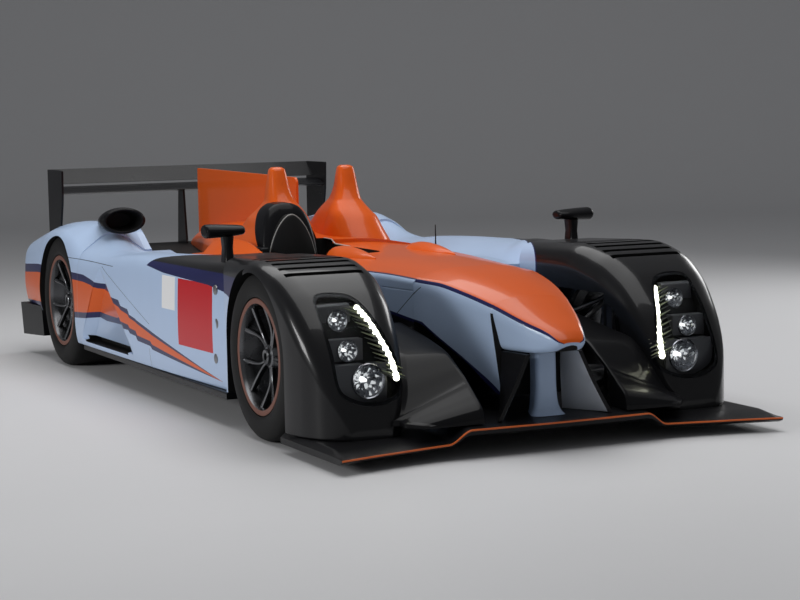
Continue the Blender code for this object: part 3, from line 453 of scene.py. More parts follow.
def curved(points, steps=6, closed=True):
    """A smooth line through points of two or three coordinates."""
    spots = [Vector(point) for point in points]
    count = len(spots)
    out = []
    last = count if closed else count - 1
    for i in range(last):
        if closed:
            a, b, c, d = (spots[(i + k) % count] for k in (-1, 0, 1, 2))
        else:
            a, b, c, d = (spots[min(max(i + k, 0), count - 1)] for k in (-1, 0, 1, 2))
        for k in range(steps):
            t = k / steps
            out.append(
                0.5
                * (
                    2 * b
                    + (c - a) * t
                    + (2 * a - 5 * b + 4 * c - d) * t * t
                    + (3 * b - a - 3 * c + d) * t * t * t
                )
            )
    return out if closed else out + [spots[-1]]


def around(count):
    """Angles of so many points spread evenly round a circle."""
    return [2 * math.pi * k / count for k in range(count)]


def ring_at(y, corners, steps=8):
    """A rounded outline of (x, z) corners as a ring across the car."""
    return [Vector((u, y, v)) for u, v in rounded(corners, steps)]


def oval(centre, half_x, half_z, count):
    """Points round an upright oval across the car."""
    x, y, z = centre
    return [Vector((x + half_x * math.cos(a), y, z + half_z * math.sin(a))) for a in around(count)]


def both_sides(right):
    """Corners (u, v, before, after) of a section that is alike on both sides, from its right ones."""
    left = [(-u, v, after, before) for u, v, before, after in reversed(right)]
    return [left[-1], *right, *left[:-1]]


def surface(name, points, faces, looks, picks=None):
    """One mesh object from points and faces, its normals turned outwards."""
    mesh = bpy.data.meshes.new(name)
    mesh.from_pydata([tuple(point) for point in points], [], faces)
    for look in looks:
        mesh.materials.append(look)
    if picks:
        mesh.polygons.foreach_set("material_index", picks)
    shape = bmesh.new()
    shape.from_mesh(mesh)
    bmesh.ops.recalc_face_normals(shape, faces=shape.faces)
    shape.to_mesh(mesh)
    shape.free()
    made = bpy.data.objects.new(name, mesh)
    bpy.context.scene.collection.objects.link(made)
    return made


def loft(name, rings, looks, strip=None, caps=True, closed=True):
    """A body through rings of equally many points; strip gives each side strip's place in looks."""
    count = len(rings[0])
    points = [point for ring in rings for point in ring]
    faces, picks = [], []
    for row in range(len(rings) - 1):
        low = row * count
        for i in range(count if closed else count - 1):
            j = (i + 1) % count
            faces.append((low + i, low + j, low + count + j, low + count + i))
            picks.append(strip(row, i) if strip else 0)
    if caps:
        faces.append(tuple(reversed(range(count))))
        faces.append(tuple(range(len(points) - count, len(points))))
        picks += [0, 0]
    return surface(name, points, faces, looks, picks)


def prism(name, outline, axis, low, high, look):
    """An outline of two coordinates, carried along the axis between two places."""
    spot = "XYZ".index(axis)
    rings = []
    for along in (low, high):
        rings.append([Vector((*point[:spot], along, *point[spot:])) for point in outline])
    return loft(name, rings, [look])


def box(name, low, high, look):
    """A plain box between two opposite corners."""
    outline = ((low[0], low[1]), (high[0], low[1]), (high[0], high[1]), (low[0], high[1]))
    return prism(name, outline, "Z", low[2], high[2], look)


def bar(name, start, end, radius, look, sides=16, end_radius=None):
    """A round bar or cone between two points."""
    start, end = Vector(start), Vector(end)
    along = (end - start).normalized()
    aside = along.orthogonal().normalized()
    third = along.cross(aside)
    rings = []
    for place, size in ((start, radius), (end, end_radius or radius)):
        rings.append([
            place + aside * size * math.cos(a) + third * size * math.sin(a) for a in around(sides)
        ])
    return loft(name, rings, [look])


def tube(name, path, radius, look, sides=10):
    """A round tube along a path of points."""
    spots = [Vector(point) for point in path]
    rings = []
    for i, spot in enumerate(spots):
        along = (spots[min(i + 1, len(spots) - 1)] - spots[max(i - 1, 0)]).normalized()
        aside = along.cross(Vector((0, 0, 1)))
        aside = aside.normalized() if aside.length > 1e-4 else Vector((1, 0, 0))
        third = aside.cross(along)
        rings.append([
            spot + aside * radius * math.cos(a) + third * radius * math.sin(a) for a in around(sides)
        ])
    return loft(name, rings, [look])


def turned(name, profile, centre, looks, segments=96, strip=None):
    """A closed profile of (x, radius) turned about an axle along X."""
    centre = Vector(centre)
    count = len(profile)
    points, faces, picks = [], [], []
    for angle in around(segments):
        for x, radius in profile:
            points.append(centre + Vector((x, radius * math.cos(angle), radius * math.sin(angle))))
    for k in range(segments):
        following = (k + 1) % segments
        for i in range(count):
            j = (i + 1) % count
            faces.append((k * count + i, k * count + j, following * count + j, following * count + i))
            picks.append(strip(i) if strip else 0)
    return surface(name, points, faces, looks, picks)


def join(name, pieces):
    """One object from several, with their looks kept."""
    shape = bmesh.new()
    looks = []
    for piece in pieces:
        places = []
        for look in piece.data.materials:
            if look not in looks:
                looks.append(look)
            places.append(looks.index(look))
        first = len(shape.faces)
        shape.from_mesh(piece.data)
        shape.faces.ensure_lookup_table()
        for face in shape.faces[first:]:
            face.material_index = places[min(face.material_index, len(places) - 1)]
    mesh = bpy.data.meshes.new(name)
    shape.to_mesh(mesh)
    shape.free()
    for look in looks:
        mesh.materials.append(look)
    for piece in pieces:
        bpy.data.objects.remove(piece)
    made = bpy.data.objects.new(name, mesh)
    bpy.context.scene.collection.objects.link(made)
    return made


def settle_modifiers(piece):
    """Replaces a piece's mesh by what its modifiers make of it."""
    graph = bpy.context.evaluated_depsgraph_get()
    done = bpy.data.meshes.new_from_object(piece.evaluated_get(graph))
    piece.modifiers.clear()
    piece.data = done
    return piece


def carve(target, tool, operation="DIFFERENCE"):
    """Applies one exact Boolean, whose cut faces take the tool's look, and removes the tool."""
    step = target.modifiers.new(operation.title(), "BOOLEAN")
    step.operation = operation
    step.object = tool
    step.solver = "EXACT"
    step.material_mode = "TRANSFER"
    settle_modifiers(target)
    bpy.data.objects.remove(tool)
    return target


def soften(piece, width=0.003, segments=2, angle=35):
    """Rounds the sharp edges a little."""
    step = piece.modifiers.new("Soften", "BEVEL")
    step.width = width
    step.segments = segments
    step.limit_method = "ANGLE"
    step.angle_limit = math.radians(angle)
    step.use_clamp_overlap = True
    return settle_modifiers(piece)


def smooth(piece, angle=35, weighted=True):
    """Smooth shading that keeps edges sharp from an angle on."""
    piece.data.shade_smooth()
    piece.data.set_sharp_from_angle(angle=math.radians(angle))
    if weighted:
        step = piece.modifiers.new("Even shading", "WEIGHTED_NORMAL")
        step.keep_sharp = True
    return piece


def mirrored(source, name):
    """The same piece on the car's other side."""
    made = bpy.data.objects.new(name, source.data.copy())
    bpy.context.scene.collection.objects.link(made)
    made.data.transform(Matrix.Scale(-1, 4, Vector((1, 0, 0))))
    made.data.flip_normals()
    for step in source.modifiers:
        copy = made.modifiers.new(step.name, step.type)
        copy.keep_sharp = step.keep_sharp
    return made


def place(piece, slot, *nodes, body=CHASSIS):
    """Puts a finished piece on its body, instead of the nodes it stands for. The slot is not used."""
    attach(piece, body)
    if nodes:
        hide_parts(*nodes)
    return piece


def place_pair(stem, piece, slot, *node_stems, body=None):
    """Places a left piece and its mirror image."""
    piece.name = stem + "_left"
    other = mirrored(piece, stem + "_right")
    for side, one in (("left", piece), ("right", other)):
        nodes = [f"{node}_{side}" for node in node_stems]
        place(one, slot, *nodes, body=f"{body}_{side}" if body else CHASSIS)
    return piece, other


# Finishes


class Field:
    """A number over the surface. Plain arithmetic on it makes Math nodes."""

    def __init__(self, tree, socket):
        self.tree = tree
        self.socket = socket

    def math(self, operation, *others):
        node = self.tree.nodes.new("ShaderNodeMath")
        node.operation = operation
        for socket, value in zip(node.inputs, (self, *others)):
            if isinstance(value, Field):
                self.tree.links.new(value.socket, socket)
            else:
                socket.default_value = value
        return Field(self.tree, node.outputs[0])

    def __add__(self, other):
        return self.math("ADD", other)

    def __sub__(self, other):
        return self.math("SUBTRACT", other)

    def __mul__(self, other):
        return self.math("MULTIPLY", other)

    def __gt__(self, other):
        return self.math("GREATER_THAN", other)

    def __lt__(self, other):
        return self.math("LESS_THAN", other)

    def __and__(self, other):
        return self.math("MULTIPLY", other)

    def __or__(self, other):
        return self.math("MAXIMUM", other)

    def size(self):
        return self.math("ABSOLUTE")

    def near(self, other, width):
        return self.math("COMPARE", other, width)

    def within(self, low, high):
        return (self > low) & (self < high)


def read_off(at, rows):
    """A value read off the broken line through rows of (place, value)."""
    places = [row[0] for row in rows]
    values = [row[1] for row in rows]
    low, high, bottom, top = min(places), max(places), min(values), max(values)
    node = at.tree.nodes.new("ShaderNodeFloatCurve")
    line = node.mapping.curves[0]
    while len(line.points) < len(rows):
        line.points.new(0.5, 0.5)
    for point, (spot, value) in zip(line.points, rows):
        point.location = ((spot - low) / (high - low), (value - bottom) / (top - bottom))
        point.handle_type = "VECTOR"
    node.mapping.update()
    share = (at - low) * (1 / (high - low))
    at.tree.links.new(share.socket, node.inputs["Value"])
    return Field(at.tree, node.outputs[0]) * (top - bottom) + bottom


def new_material(name):
    """A material with its node tree and its shader."""
    made = bpy.data.materials.new(name)
    made.use_nodes = True
    return made, made.node_tree, made.node_tree.nodes["Principled BSDF"]


def places(tree):
    """The three object coordinates."""
    spot = tree.nodes.new("ShaderNodeTexCoord")
    split = tree.nodes.new("ShaderNodeSeparateXYZ")
    tree.links.new(spot.outputs["Object"], split.inputs[0])
    return [Field(tree, split.outputs[i]) for i in range(3)]


def noise(tree, scale, detail=3.0):
    """Cloudy noise in object coordinates, about 0.5."""
    spot = tree.nodes.new("ShaderNodeTexCoord")
    cloud = tree.nodes.new("ShaderNodeTexNoise")
    cloud.inputs["Scale"].default_value = scale
    cloud.inputs["Detail"].default_value = detail
    tree.links.new(spot.outputs["Object"], cloud.inputs["Vector"])
    return Field(tree, cloud.outputs[0])


def blended(tree, mask, low, high):
    """A colour between low and high, each a colour or a socket."""
    node = tree.nodes.new("ShaderNodeMix")
    node.data_type = "RGBA"
    tree.links.new(mask.socket, node.inputs[0])
    for socket, value in ((node.inputs[6], low), (node.inputs[7], high)):
        if isinstance(value, bpy.types.NodeSocket):
            tree.links.new(value, socket)
        else:
            socket.default_value = (*value, 1.0)
    return node.outputs[2]


def set_bump(tree, shader, height, strength, distance=0.001, coat=True):
    """Fine relief from a height over the surface."""
    node = tree.nodes.new("ShaderNodeBump")
    node.inputs["Strength"].default_value = strength
    node.inputs["Distance"].default_value = distance
    tree.links.new(height.socket, node.inputs["Height"])
    tree.links.new(node.outputs[0], shader.inputs["Normal"])
    if coat:
        tree.links.new(node.outputs[0], shader.inputs["Coat Normal"])


def paint_look(name, base, layers=None, seams=None, roughness=0.30, coat=0.30, sheen=0.15):
    """Gloss paint under lacquer, with layers(x, y, z) of (mask, colour) and the panel gaps seams(x, y, z)."""
    made, tree, shader = new_material(name)
    x, y, z = places(tree)
    drift = noise(tree, 6.0)
    pale = tuple(min(1.0, c * 1.03) for c in base)
    deep = tuple(c * 0.97 for c in base)
    colour = blended(tree, drift, deep, pale)
    if layers:
        for mask, tint in layers(x, y, z):
            colour = blended(tree, mask, colour, tint)
    height = noise(tree, 140.0) * 0.03
    if seams:
        gap = seams(x, y, z)
        colour = blended(tree, gap, colour, (0.006, 0.006, 0.008))
        height = height - gap * 2.0
    tree.links.new(colour, shader.inputs["Base Color"])
    shader.inputs["Roughness"].default_value = roughness
    shader.inputs["Specular IOR Level"].default_value = sheen
    shader.inputs["Coat Weight"].default_value = coat
    shader.inputs["Coat Roughness"].default_value = 0.04
    set_bump(tree, shader, height, 0.35)
    return made


def weave_look(name, dark, pale, scale, roughness, coat):
    """Woven carbon fibre: small squares that differ a little in tone and sheen."""
    made, tree, shader = new_material(name)
    spot = tree.nodes.new("ShaderNodeTexCoord")
    squares = tree.nodes.new("ShaderNodeTexChecker")
    squares.inputs["Scale"].default_value = scale
    tree.links.new(spot.outputs["Object"], squares.inputs["Vector"])
    weave = Field(tree, squares.outputs["Fac"])
    dirt = noise(tree, 3.0)
    mask = weave * 0.6 + dirt * 0.4
    tree.links.new(blended(tree, mask, dark, pale), shader.inputs["Base Color"])
    rough = weave * 0.06 + dirt * 0.10 + (roughness - 0.08)
    tree.links.new(rough.socket, shader.inputs["Roughness"])
    shader.inputs["Specular IOR Level"].default_value = 0.16
    shader.inputs["Coat Weight"].default_value = coat
    shader.inputs["Coat Roughness"].default_value = 0.05
    set_bump(tree, shader, weave * 0.3 + dirt * 0.1, 0.15, coat=False)
    return made


def plain_look(
    name,
    base,
    roughness,
    metallic=0.0,
    grain=60.0,
    contrast=0.12,
    bump=0.1,
    coat=0.0,
    rough_drift=0.12,
    sheen=0.5,
):
    """Moulded plastic, rubber, cast or turned metal: fine grain in tone, sheen and height."""
    made, tree, shader = new_material(name)
    cloud = noise(tree, grain, 6.0)
    broad = noise(tree, 4.0)
    mask = cloud * 0.5 + broad * 0.5
    low = tuple(c * (1 - contrast) for c in base)
    high = tuple(min(1.0, c * (1 + contrast)) for c in base)
    tree.links.new(blended(tree, mask, low, high), shader.inputs["Base Color"])
    rough = broad * rough_drift + (roughness - rough_drift / 2)
    tree.links.new(rough.socket, shader.inputs["Roughness"])
    shader.inputs["Metallic"].default_value = metallic
    shader.inputs["Specular IOR Level"].default_value = sheen
    shader.inputs["Coat Weight"].default_value = coat
    set_bump(tree, shader, cloud, bump, coat=False)
    return made


def glow_look(name, colour, strength):
    """A surface that gives off light."""
    made, _, shader = new_material(name)
    shader.inputs["Base Color"].default_value = (*colour, 1.0)
    shader.inputs["Emission Color"].default_value = (*colour, 1.0)
    shader.inputs["Emission Strength"].default_value = strength
    return made


def glass_look(name, colour):
    """Thin clear cover, with little refraction."""
    made, _, shader = new_material(name)
    shader.inputs["Base Color"].default_value = (*colour, 1.0)
    shader.inputs["Transmission Weight"].default_value = 1.0
    shader.inputs["Roughness"].default_value = 0.0
    shader.inputs["IOR"].default_value = 1.05
    shader.inputs["Specular IOR Level"].default_value = 0.3
    return made


class CarColours(bpy.types.PropertyGroup):
    """Colours of the paint and of the main materials."""

    blue: bpy.props.FloatVectorProperty(
        name="Body blue", description="Pale blue of the body", subtype="COLOR", size=3,
        default=(0.42, 0.54, 0.74),
    )
    orange: bpy.props.FloatVectorProperty(
        name="Orange", description="Orange of the cowl, humps and stripes", subtype="COLOR", size=3,
        default=(0.66, 0.098, 0.007),
    )
    navy: bpy.props.FloatVectorProperty(
        name="Navy", description="Dark blue of the stripe borders", subtype="COLOR", size=3,
        default=(0.012, 0.014, 0.075),
    )
    red: bpy.props.FloatVectorProperty(
        name="Panel red", description="Red of the blank side panel", subtype="COLOR", size=3,
        default=(0.50, 0.008, 0.014),
    )
    white: bpy.props.FloatVectorProperty(
        name="Panel white", description="White of the small side panel", subtype="COLOR", size=3,
        default=(0.80, 0.80, 0.80),
    )
    black: bpy.props.FloatVectorProperty(
        name="Body black", description="Black of the shoulders and lamp frames", subtype="COLOR", size=3,
        default=(0.007, 0.007, 0.008),
    )
    ring: bpy.props.FloatVectorProperty(
        name="Rim lip", description="Copper-coloured lip of the rim", subtype="COLOR", size=3,
        default=(0.155, 0.058, 0.038),
    )
    floor: bpy.props.FloatVectorProperty(
        name="Floor", description="Pale studio floor", subtype="COLOR", size=3, default=(0.62, 0.62, 0.63)
    )


class CarForms(bpy.types.PropertyGroup):
    """Counts and sizes of the fine forms."""

    louvres: bpy.props.IntProperty(
        name="Louvres", description="Slots across each front fender", default=6, min=1, max=12
    )
    lights: bpy.props.IntProperty(
        name="Strip lights", description="Small lamps in each light strip", default=26, min=4, max=60
    )
    spoke_pairs: bpy.props.IntProperty(
        name="Spoke pairs", description="Forked spokes in each wheel", default=5, min=3, max=8
    )
    edge_round: bpy.props.FloatProperty(
        name="Edge rounding", description="Width of the rounding on cut panel edges", default=0.003,
        min=0.0005, max=0.01, unit="LENGTH",
    )
    strut: bpy.props.FloatProperty(
        name="Antenna radius", description="Radius of the mast on the cowl, at its foot", default=0.0042,
        min=0.001, max=0.01, unit="LENGTH",
    )


def colours():
    """The scene's colours."""
    return bpy.context.scene.race_car_colours


def forms():
    """The scene's counts and sizes."""
    return bpy.context.scene.race_car_forms


def side_layers(x, y, z):
    """Stripe, panels and dark shoulder of the body's sides, on both sides alike."""
    tint = colours()
    lines = [read_off(y, [(row[0], row[k]) for row in STRIPE]) for k in range(1, 5)]
    navy_stripe = (z < lines[0]) & (z > lines[3])
    orange_stripe = (z < lines[1]) & (z > lines[2])
    outside = x.size() > OUTER_SIDE
    back = (x.size() - SHOULDER_X) * SHOULDER_SLANT + SHOULDER_BACK
    edge = read_off(y, SHOULDER_EDGE)
    dark = (y < back) & ((z > edge) | (x.size() < OUTER_SIDE))
    navy_band = dark & outside & (z < NAVY_TOP) & (y > NAVY_FRONT)
    border = (y - back).size() < BORDER_HALF
    red = outside & y.within(*RED_PANEL[0]) & z.within(*RED_PANEL[1])
    white = outside & y.within(*WHITE_PANEL[0]) & z.within(*WHITE_PANEL[1])
    return (
        (navy_stripe & outside, tint.navy),
        (orange_stripe & outside, tint.orange),
        (red, tint.red),
        (white, tint.white),
        (border & (x.size() < OUTER_SIDE), tint.navy),
        (dark, tint.black),
        (navy_band, tint.navy),
    )


def side_seams(x, y, z):
    """Gaps between the panels of the side."""
    outside = x.size() > OUTER_SIDE
    upper = outside & z.near(UPPER_SEAM, 0.0015) & y.within(*UPPER_SEAM_RUN)
    line = y * SLANT_SEAM_RISE + SLANT_SEAM_START
    slant = outside & ((z - line).size() < SEAM) & y.within(*SLANT_SEAM_RUN)
    upright = outside & y.near(UPRIGHT_SEAM, SEAM) & z.within(*UPRIGHT_SEAM_RUN)
    return upper | slant | upright


@functools.cache
def body_side():
    """Painted side of the pods and fenders, with its stripes and panels."""
    return paint_look("side_paint", colours().blue, side_layers, side_seams)


@functools.cache
def blue_paint():
    """Pale blue body paint."""
    return paint_look("blue_paint", colours().blue)


@functools.cache
def orange_paint():
    """Orange paint of the cowl and the humps."""
    return paint_look("orange_paint", colours().orange)


@functools.cache
def navy_paint():
    """Dark blue border beside the orange."""
    return paint_look("navy_paint", colours().navy)


@functools.cache
def black_paint():
    """Gloss black of roofs, lamp frames, mirrors and the headrest."""
    return paint_look("black_paint", colours().black, roughness=0.32, coat=0.12, sheen=0.06)


@functools.cache
def carbon():
    """Lacquered carbon weave."""
    return weave_look("carbon", (0.003, 0.003, 0.004), (0.008, 0.008, 0.009), 220.0, 0.32, 0.06)


@functools.cache
def dull_carbon():
    """Bare carbon weave inside wells and openings."""
    return weave_look("dull_carbon", (0.004, 0.004, 0.004), (0.009, 0.009, 0.009), 220.0, 0.60, 0.0)


@functools.cache
def rubber():
    """Slick tyre rubber."""
    return plain_look(
        "tyre_rubber", (0.009, 0.009, 0.009), 0.62, grain=300.0, contrast=0.35, bump=0.25, sheen=0.2
    )


@functools.cache
def wheel_metal():
    """Dark machined metal of the rims."""
    return plain_look(
        "wheel_metal", (0.150, 0.153, 0.160), 0.26, metallic=1.0, grain=90.0, contrast=0.2, bump=0.03
    )


@functools.cache
def bright_metal():
    """Bright metal of the small reflector."""
    return plain_look(
        "bright_metal", (0.80, 0.80, 0.82), 0.16, metallic=1.0, grain=40.0, contrast=0.05, bump=0.02
    )


@functools.cache
def bowl_metal():
    """Silvered reflector of a lamp."""
    return plain_look(
        "lamp_silver", (0.42, 0.43, 0.45), 0.16, metallic=1.0, grain=40.0, contrast=0.1, bump=0.02
    )


@functools.cache
def chrome():
    """Bright ring round a lamp."""
    return plain_look(
        "lamp_bezel", (0.34, 0.34, 0.36), 0.24, metallic=1.0, grain=40.0, contrast=0.05, bump=0.02
    )


@functools.cache
def cast_metal():
    """Rough cast metal of the drive parts."""
    return plain_look(
        "cast_metal", (0.42, 0.42, 0.44), 0.45, metallic=0.9, grain=160.0, contrast=0.25, bump=0.3
    )


@functools.cache
def steel():
    """Plain steel of arms and fasteners."""
    return plain_look("steel", (0.30, 0.30, 0.31), 0.35, metallic=1.0, grain=200.0, contrast=0.15, bump=0.05)


@functools.cache
def trim():
    """Dark padding of the cockpit."""
    return plain_look(
        "cockpit_trim", (0.007, 0.007, 0.007), 0.55, grain=220.0, contrast=0.3, bump=0.3, sheen=0.15
    )


@functools.cache
def grey_plastic():
    """Grey plastic of the lamp shelves."""
    return plain_look("lamp_plastic", (0.060, 0.060, 0.064), 0.42, grain=120.0, contrast=0.1, bump=0.08)


# Stage


def make_stage():
    """Pale floor with a curved backdrop, soft lamps and the photograph's camera."""
    scene = bpy.context.scene
    pale = plain_look(
        "studio_floor", colours().floor, 0.55, grain=2.0, contrast=0.01, bump=0.0, rough_drift=0.02
    )
    sweep = []
    reach = 14.0
    bend = 5.0
    front = -24.0
    wall_top = 16.0
    half_width = 30.0
    for k in range(13):
        angle = math.pi / 2 * k / 12
        sweep.append((reach + bend * math.sin(angle), bend * (1 - math.cos(angle))))
    outline = [(front, 0.0)] + sweep + [(reach + bend, wall_top)]
    rings = [[Vector((side * half_width, y, z)) for y, z in outline] for side in (-1, 1)]
    turn = Matrix.Rotation(-CAMERA_YAW, 4, "Z")
    rings = [[turn @ point for point in ring] for ring in rings]
    floor = loft("studio_floor", rings, [pale], caps=False, closed=False)
    floor.data.shade_smooth()

    world = bpy.data.worlds.new("studio")
    scene.world = world
    world.use_nodes = True
    glow = world.node_tree.nodes["Background"]
    glow.inputs["Color"].default_value = (0.62, 0.63, 0.65, 1.0)
    glow.inputs["Strength"].default_value = 0.28

    # Lamps: name, place, aim, width, depth, power
    for name, spot, aim, wide, deep, power in (
        ("overhead", (0.0, 0.3, 5.0), (0.0, 0.2, 0.0), 4.5, 8.0, 265.0),
        ("side", (-8.5, -1.0, 2.8), (0.0, -0.3, 0.4), 2.8, 1.6, 250.0),
        ("far_side", (6.5, 1.5, 3.2), (0.0, -0.5, 0.5), 3.0, 2.0, 120.0),
    ):
        data = bpy.data.lights.new(name, "AREA")
        data.shape = "RECTANGLE"
        data.size = wide
        data.size_y = deep
        data.energy = power
        lamp = bpy.data.objects.new(name, data)
        lamp.location = spot
        lamp.rotation_euler = (Vector(aim) - Vector(spot)).to_track_quat("-Z", "Y").to_euler()
        scene.collection.objects.link(lamp)

    data = bpy.data.cameras.new("photo_camera")
    data.lens = CAMERA_LENS
    data.sensor_width = SENSOR_WIDTH
    data.clip_end = 200.0
    camera = bpy.data.objects.new("photo_camera", data)
    across = Vector((math.cos(CAMERA_YAW), -math.sin(CAMERA_YAW), 0))
    level = Vector((math.sin(CAMERA_YAW), math.cos(CAMERA_YAW), 0))
    ahead = level * math.cos(CAMERA_PITCH) - Vector((0, 0, math.sin(CAMERA_PITCH)))
    up = across.cross(ahead)
    right = across * math.cos(CAMERA_ROLL) + up * math.sin(CAMERA_ROLL)
    top = up * math.cos(CAMERA_ROLL) - across * math.sin(CAMERA_ROLL)
    turn = Matrix((right, top, -ahead)).transposed().to_4x4()
    camera.matrix_world = Matrix.Translation(Vector(CAMERA_PLACE)) @ turn
    scene.collection.objects.link(camera)
    scene.camera = camera
    scene.view_settings.view_transform = "Standard"


# Body panels


def well_cutter(axle, half, inner, inner_top, look, outer=LIP_INNER):
    """The wheel's space: straight sides, then half an ellipse, lower at its inner wall."""
    rings = []
    for x, top in ((inner, inner_top), (inner + WELL_SLOPE, WELL_TOP), (outer, WELL_TOP)):
        rise = top - WELL_SPRING
        turn = [math.pi * k / 40 for k in range(41)]
        arch = [(axle + half * math.cos(a), WELL_SPRING + rise * math.sin(a)) for a in turn]
        outline = [(axle + half, BELOW)] + arch + [(axle - half, BELOW)]
        rings.append([Vector((x, y, z)) for y, z in outline])
    return loft("well", rings, [look])


def lip_cutter(axle, look):
    """The opening in the outer skin, a little smaller than the space behind it."""
    turn = [math.pi * k / 48 for k in range(49)]
    arch = [(axle + LIP_RADIUS * math.cos(a), TYRE_RADIUS + LIP_RADIUS * math.sin(a)) for a in turn]
    outline = [(axle + LIP_RADIUS, BELOW)] + arch + [(axle - LIP_RADIUS, BELOW)]
    return prism("lip", outline, "X", LIP_INNER - 0.05, 1.1, look)


def fender_ring(row_at, shift=0.0):
    """Section of the front fender at one station, shifted back by some."""
    low = FLOOR_TOP + GAP
    inner, outer, top, side_reach, side_drop, inner_reach, inner_drop = through(FRONT_FENDER, row_at)
    corners = (
        (inner, low, 0.01, 0.01),
        (outer, low, 0.01, 0.01),
        (outer, top, side_drop, side_reach),
        (inner, top, inner_reach, inner_drop),
    )
    return ring_at(FRONT_AXLE + row_at + shift, corners, 12)


def fender_body(name, look, shift=0.0, extra=6):
    """The whole front fender as a plain body."""
    return loft(name, [fender_ring(off, shift) for off in between(FRONT_FENDER, extra)], [look])


def lamp_shape(margin):
    """The lamp opening's outline, drawn in by a margin."""
    middle = Vector(LAMP_MIDDLE)
    out = []
    for spot in curved(LAMP_OUTLINE, 5):
        away = spot - middle
        out.append(middle + away * (1 - margin / away.length))
    return out


def lamp_prism(name, margin, look):
    """The lamp opening's outline carried back through the fender."""
    start = FRONT_AXLE - 0.9
    return prism(name, lamp_shape(margin), "Y", start, start + LAMP_REACH, look)


def lamp_layer(name, near, far, margin, look):
    """A plate that follows the fender's face, between two depths behind it."""
    plate = lamp_prism(name, margin, look)
    carve(plate, fender_body("near", look, near, 4), "INTERSECT")
    carve(plate, fender_body("far", look, far, 4), "DIFFERENCE")
    return plate


def louvre_cutter(number, look):
    """One slot across the fender's top, slanting back and down."""
    y = FRONT_AXLE + LOUVRE_FIRST + LOUVRE_PITCH * number
    section = (
        (y, 0.80),
        (y + LOUVRE_WIDE, 0.80),
        (y + LOUVRE_WIDE + LOUVRE_SLANT, 0.60),
        (y + LOUVRE_SLANT, 0.60),
    )
    return prism("slot", section, "X", LOUVRE_INNER, LOUVRE_OUTER, look)


def make_front_fenders():
    """Front fenders with their wheel arches, lamp openings and louvres."""
    look, inside = body_side(), dull_carbon()
    piece = fender_body("front_fender_skin", look)
    carve(piece, well_cutter(FRONT_AXLE, WELL_FRONT_HALF, FENDER_INNER + INNER_WALL, 0.580, inside))
    carve(piece, lip_cutter(FRONT_AXLE, inside))
    window_low = (FENDER_INNER - 0.1, FRONT_AXLE - WINDOW_REACH, BELOW)
    window_high = (FENDER_INNER + 0.12, FENDER_END + 0.1, WINDOW_TOP)
    carve(piece, box("window", window_low, window_high, inside))
    pocket = lamp_prism("pocket", 0.0, inside)
    carve(pocket, fender_body("behind", inside, LAMP_POCKET, 4))
    carve(piece, pocket)
    for row in LAMPS:
        carve(piece, lamp_hole(*row[:5], 0.001, inside))
    for number in range(forms().louvres):
        carve(piece, louvre_cutter(number, inside))
    foot = box("foot", (0.40, POD_START - 0.04, 0.0), (1.1, POD_START + 0.1, SILL), inside)
    carve(piece, foot)
    soften(piece, forms().edge_round)
    place_pair("front_fender_skin", smooth(piece), "body_carbon", "front_fender")


def lamp_hole(x, z, radius, face, deep, grow, look):
    """The round hole that a lamp's bowl stands in."""
    return bar("hole", (x, face - 0.15, z), (x, face + deep + 0.006, z), radius + grow, look, 48)


def lamp_unit(x, z, radius, face, deep, shelf_low, shelf_high, shelf_inner):
    """A shelf with a round reflector lamp in it, facing forwards."""
    plastic = grey_plastic()
    shelf = lamp_prism("shelf", 0.004, plastic)
    room = box("room", (shelf_inner, face, shelf_low), (1.0, face + deep + 0.008, shelf_high), plastic)
    carve(shelf, room, "INTERSECT")
    carve(shelf, fender_body("skin", plastic, 0.006, 4), "INTERSECT")
    soften(shelf, 0.003, 2)
    carve(shelf, lamp_hole(x, z, radius, face, deep, 0.0, dull_carbon()))
    smooth(shelf)
    bowl = []
    # Reflector facets: share of the radius, share of the depth
    for share, drop in ((1.00, 0.04), (0.90, 0.26), (0.74, 0.52), (0.54, 0.76), (0.34, 0.93), (0.14, 1.00)):
        turn = [2 * math.pi * (k + 0.5 * (len(bowl) % 2)) / 16 for k in range(16)]
        ring = []
        for a in turn:
            ripple = 0.003 * math.sin(5 * a + 3 * len(bowl)) * (share < 0.95)
            reach = radius * share
            ring.append(
                Vector((x + reach * math.cos(a), face + deep * drop + ripple, z + reach * math.sin(a)))
            )
        bowl.append(ring)
    middle = Vector((x, face + deep, z))
    bowl.append([middle.lerp(point, 0.05) for point in bowl[-1]])
    reflector = loft("reflector", bowl, [bowl_metal()], caps=False)
    rows = []
    # Bezel: share of the radius, off (from the face)
    for share, off in ((1.03, 0.004), (1.05, -0.004), (1.01, -0.009), (0.95, -0.005), (0.94, 0.006)):
        rows.append(oval((x, face + off, z), radius * share, radius * share, 48))
    bezel = smooth(loft("bezel", rows, [chrome()], caps=False))
    glow = glow_look("bulb", (1, 1, 0.96), 1.5)
    bulb = bar("bulb", middle, (x, face + 0.4 * deep, z), 0.17 * radius, glow, 16, 0.1 * radius)
    return [shelf, reflector, bezel, bulb]


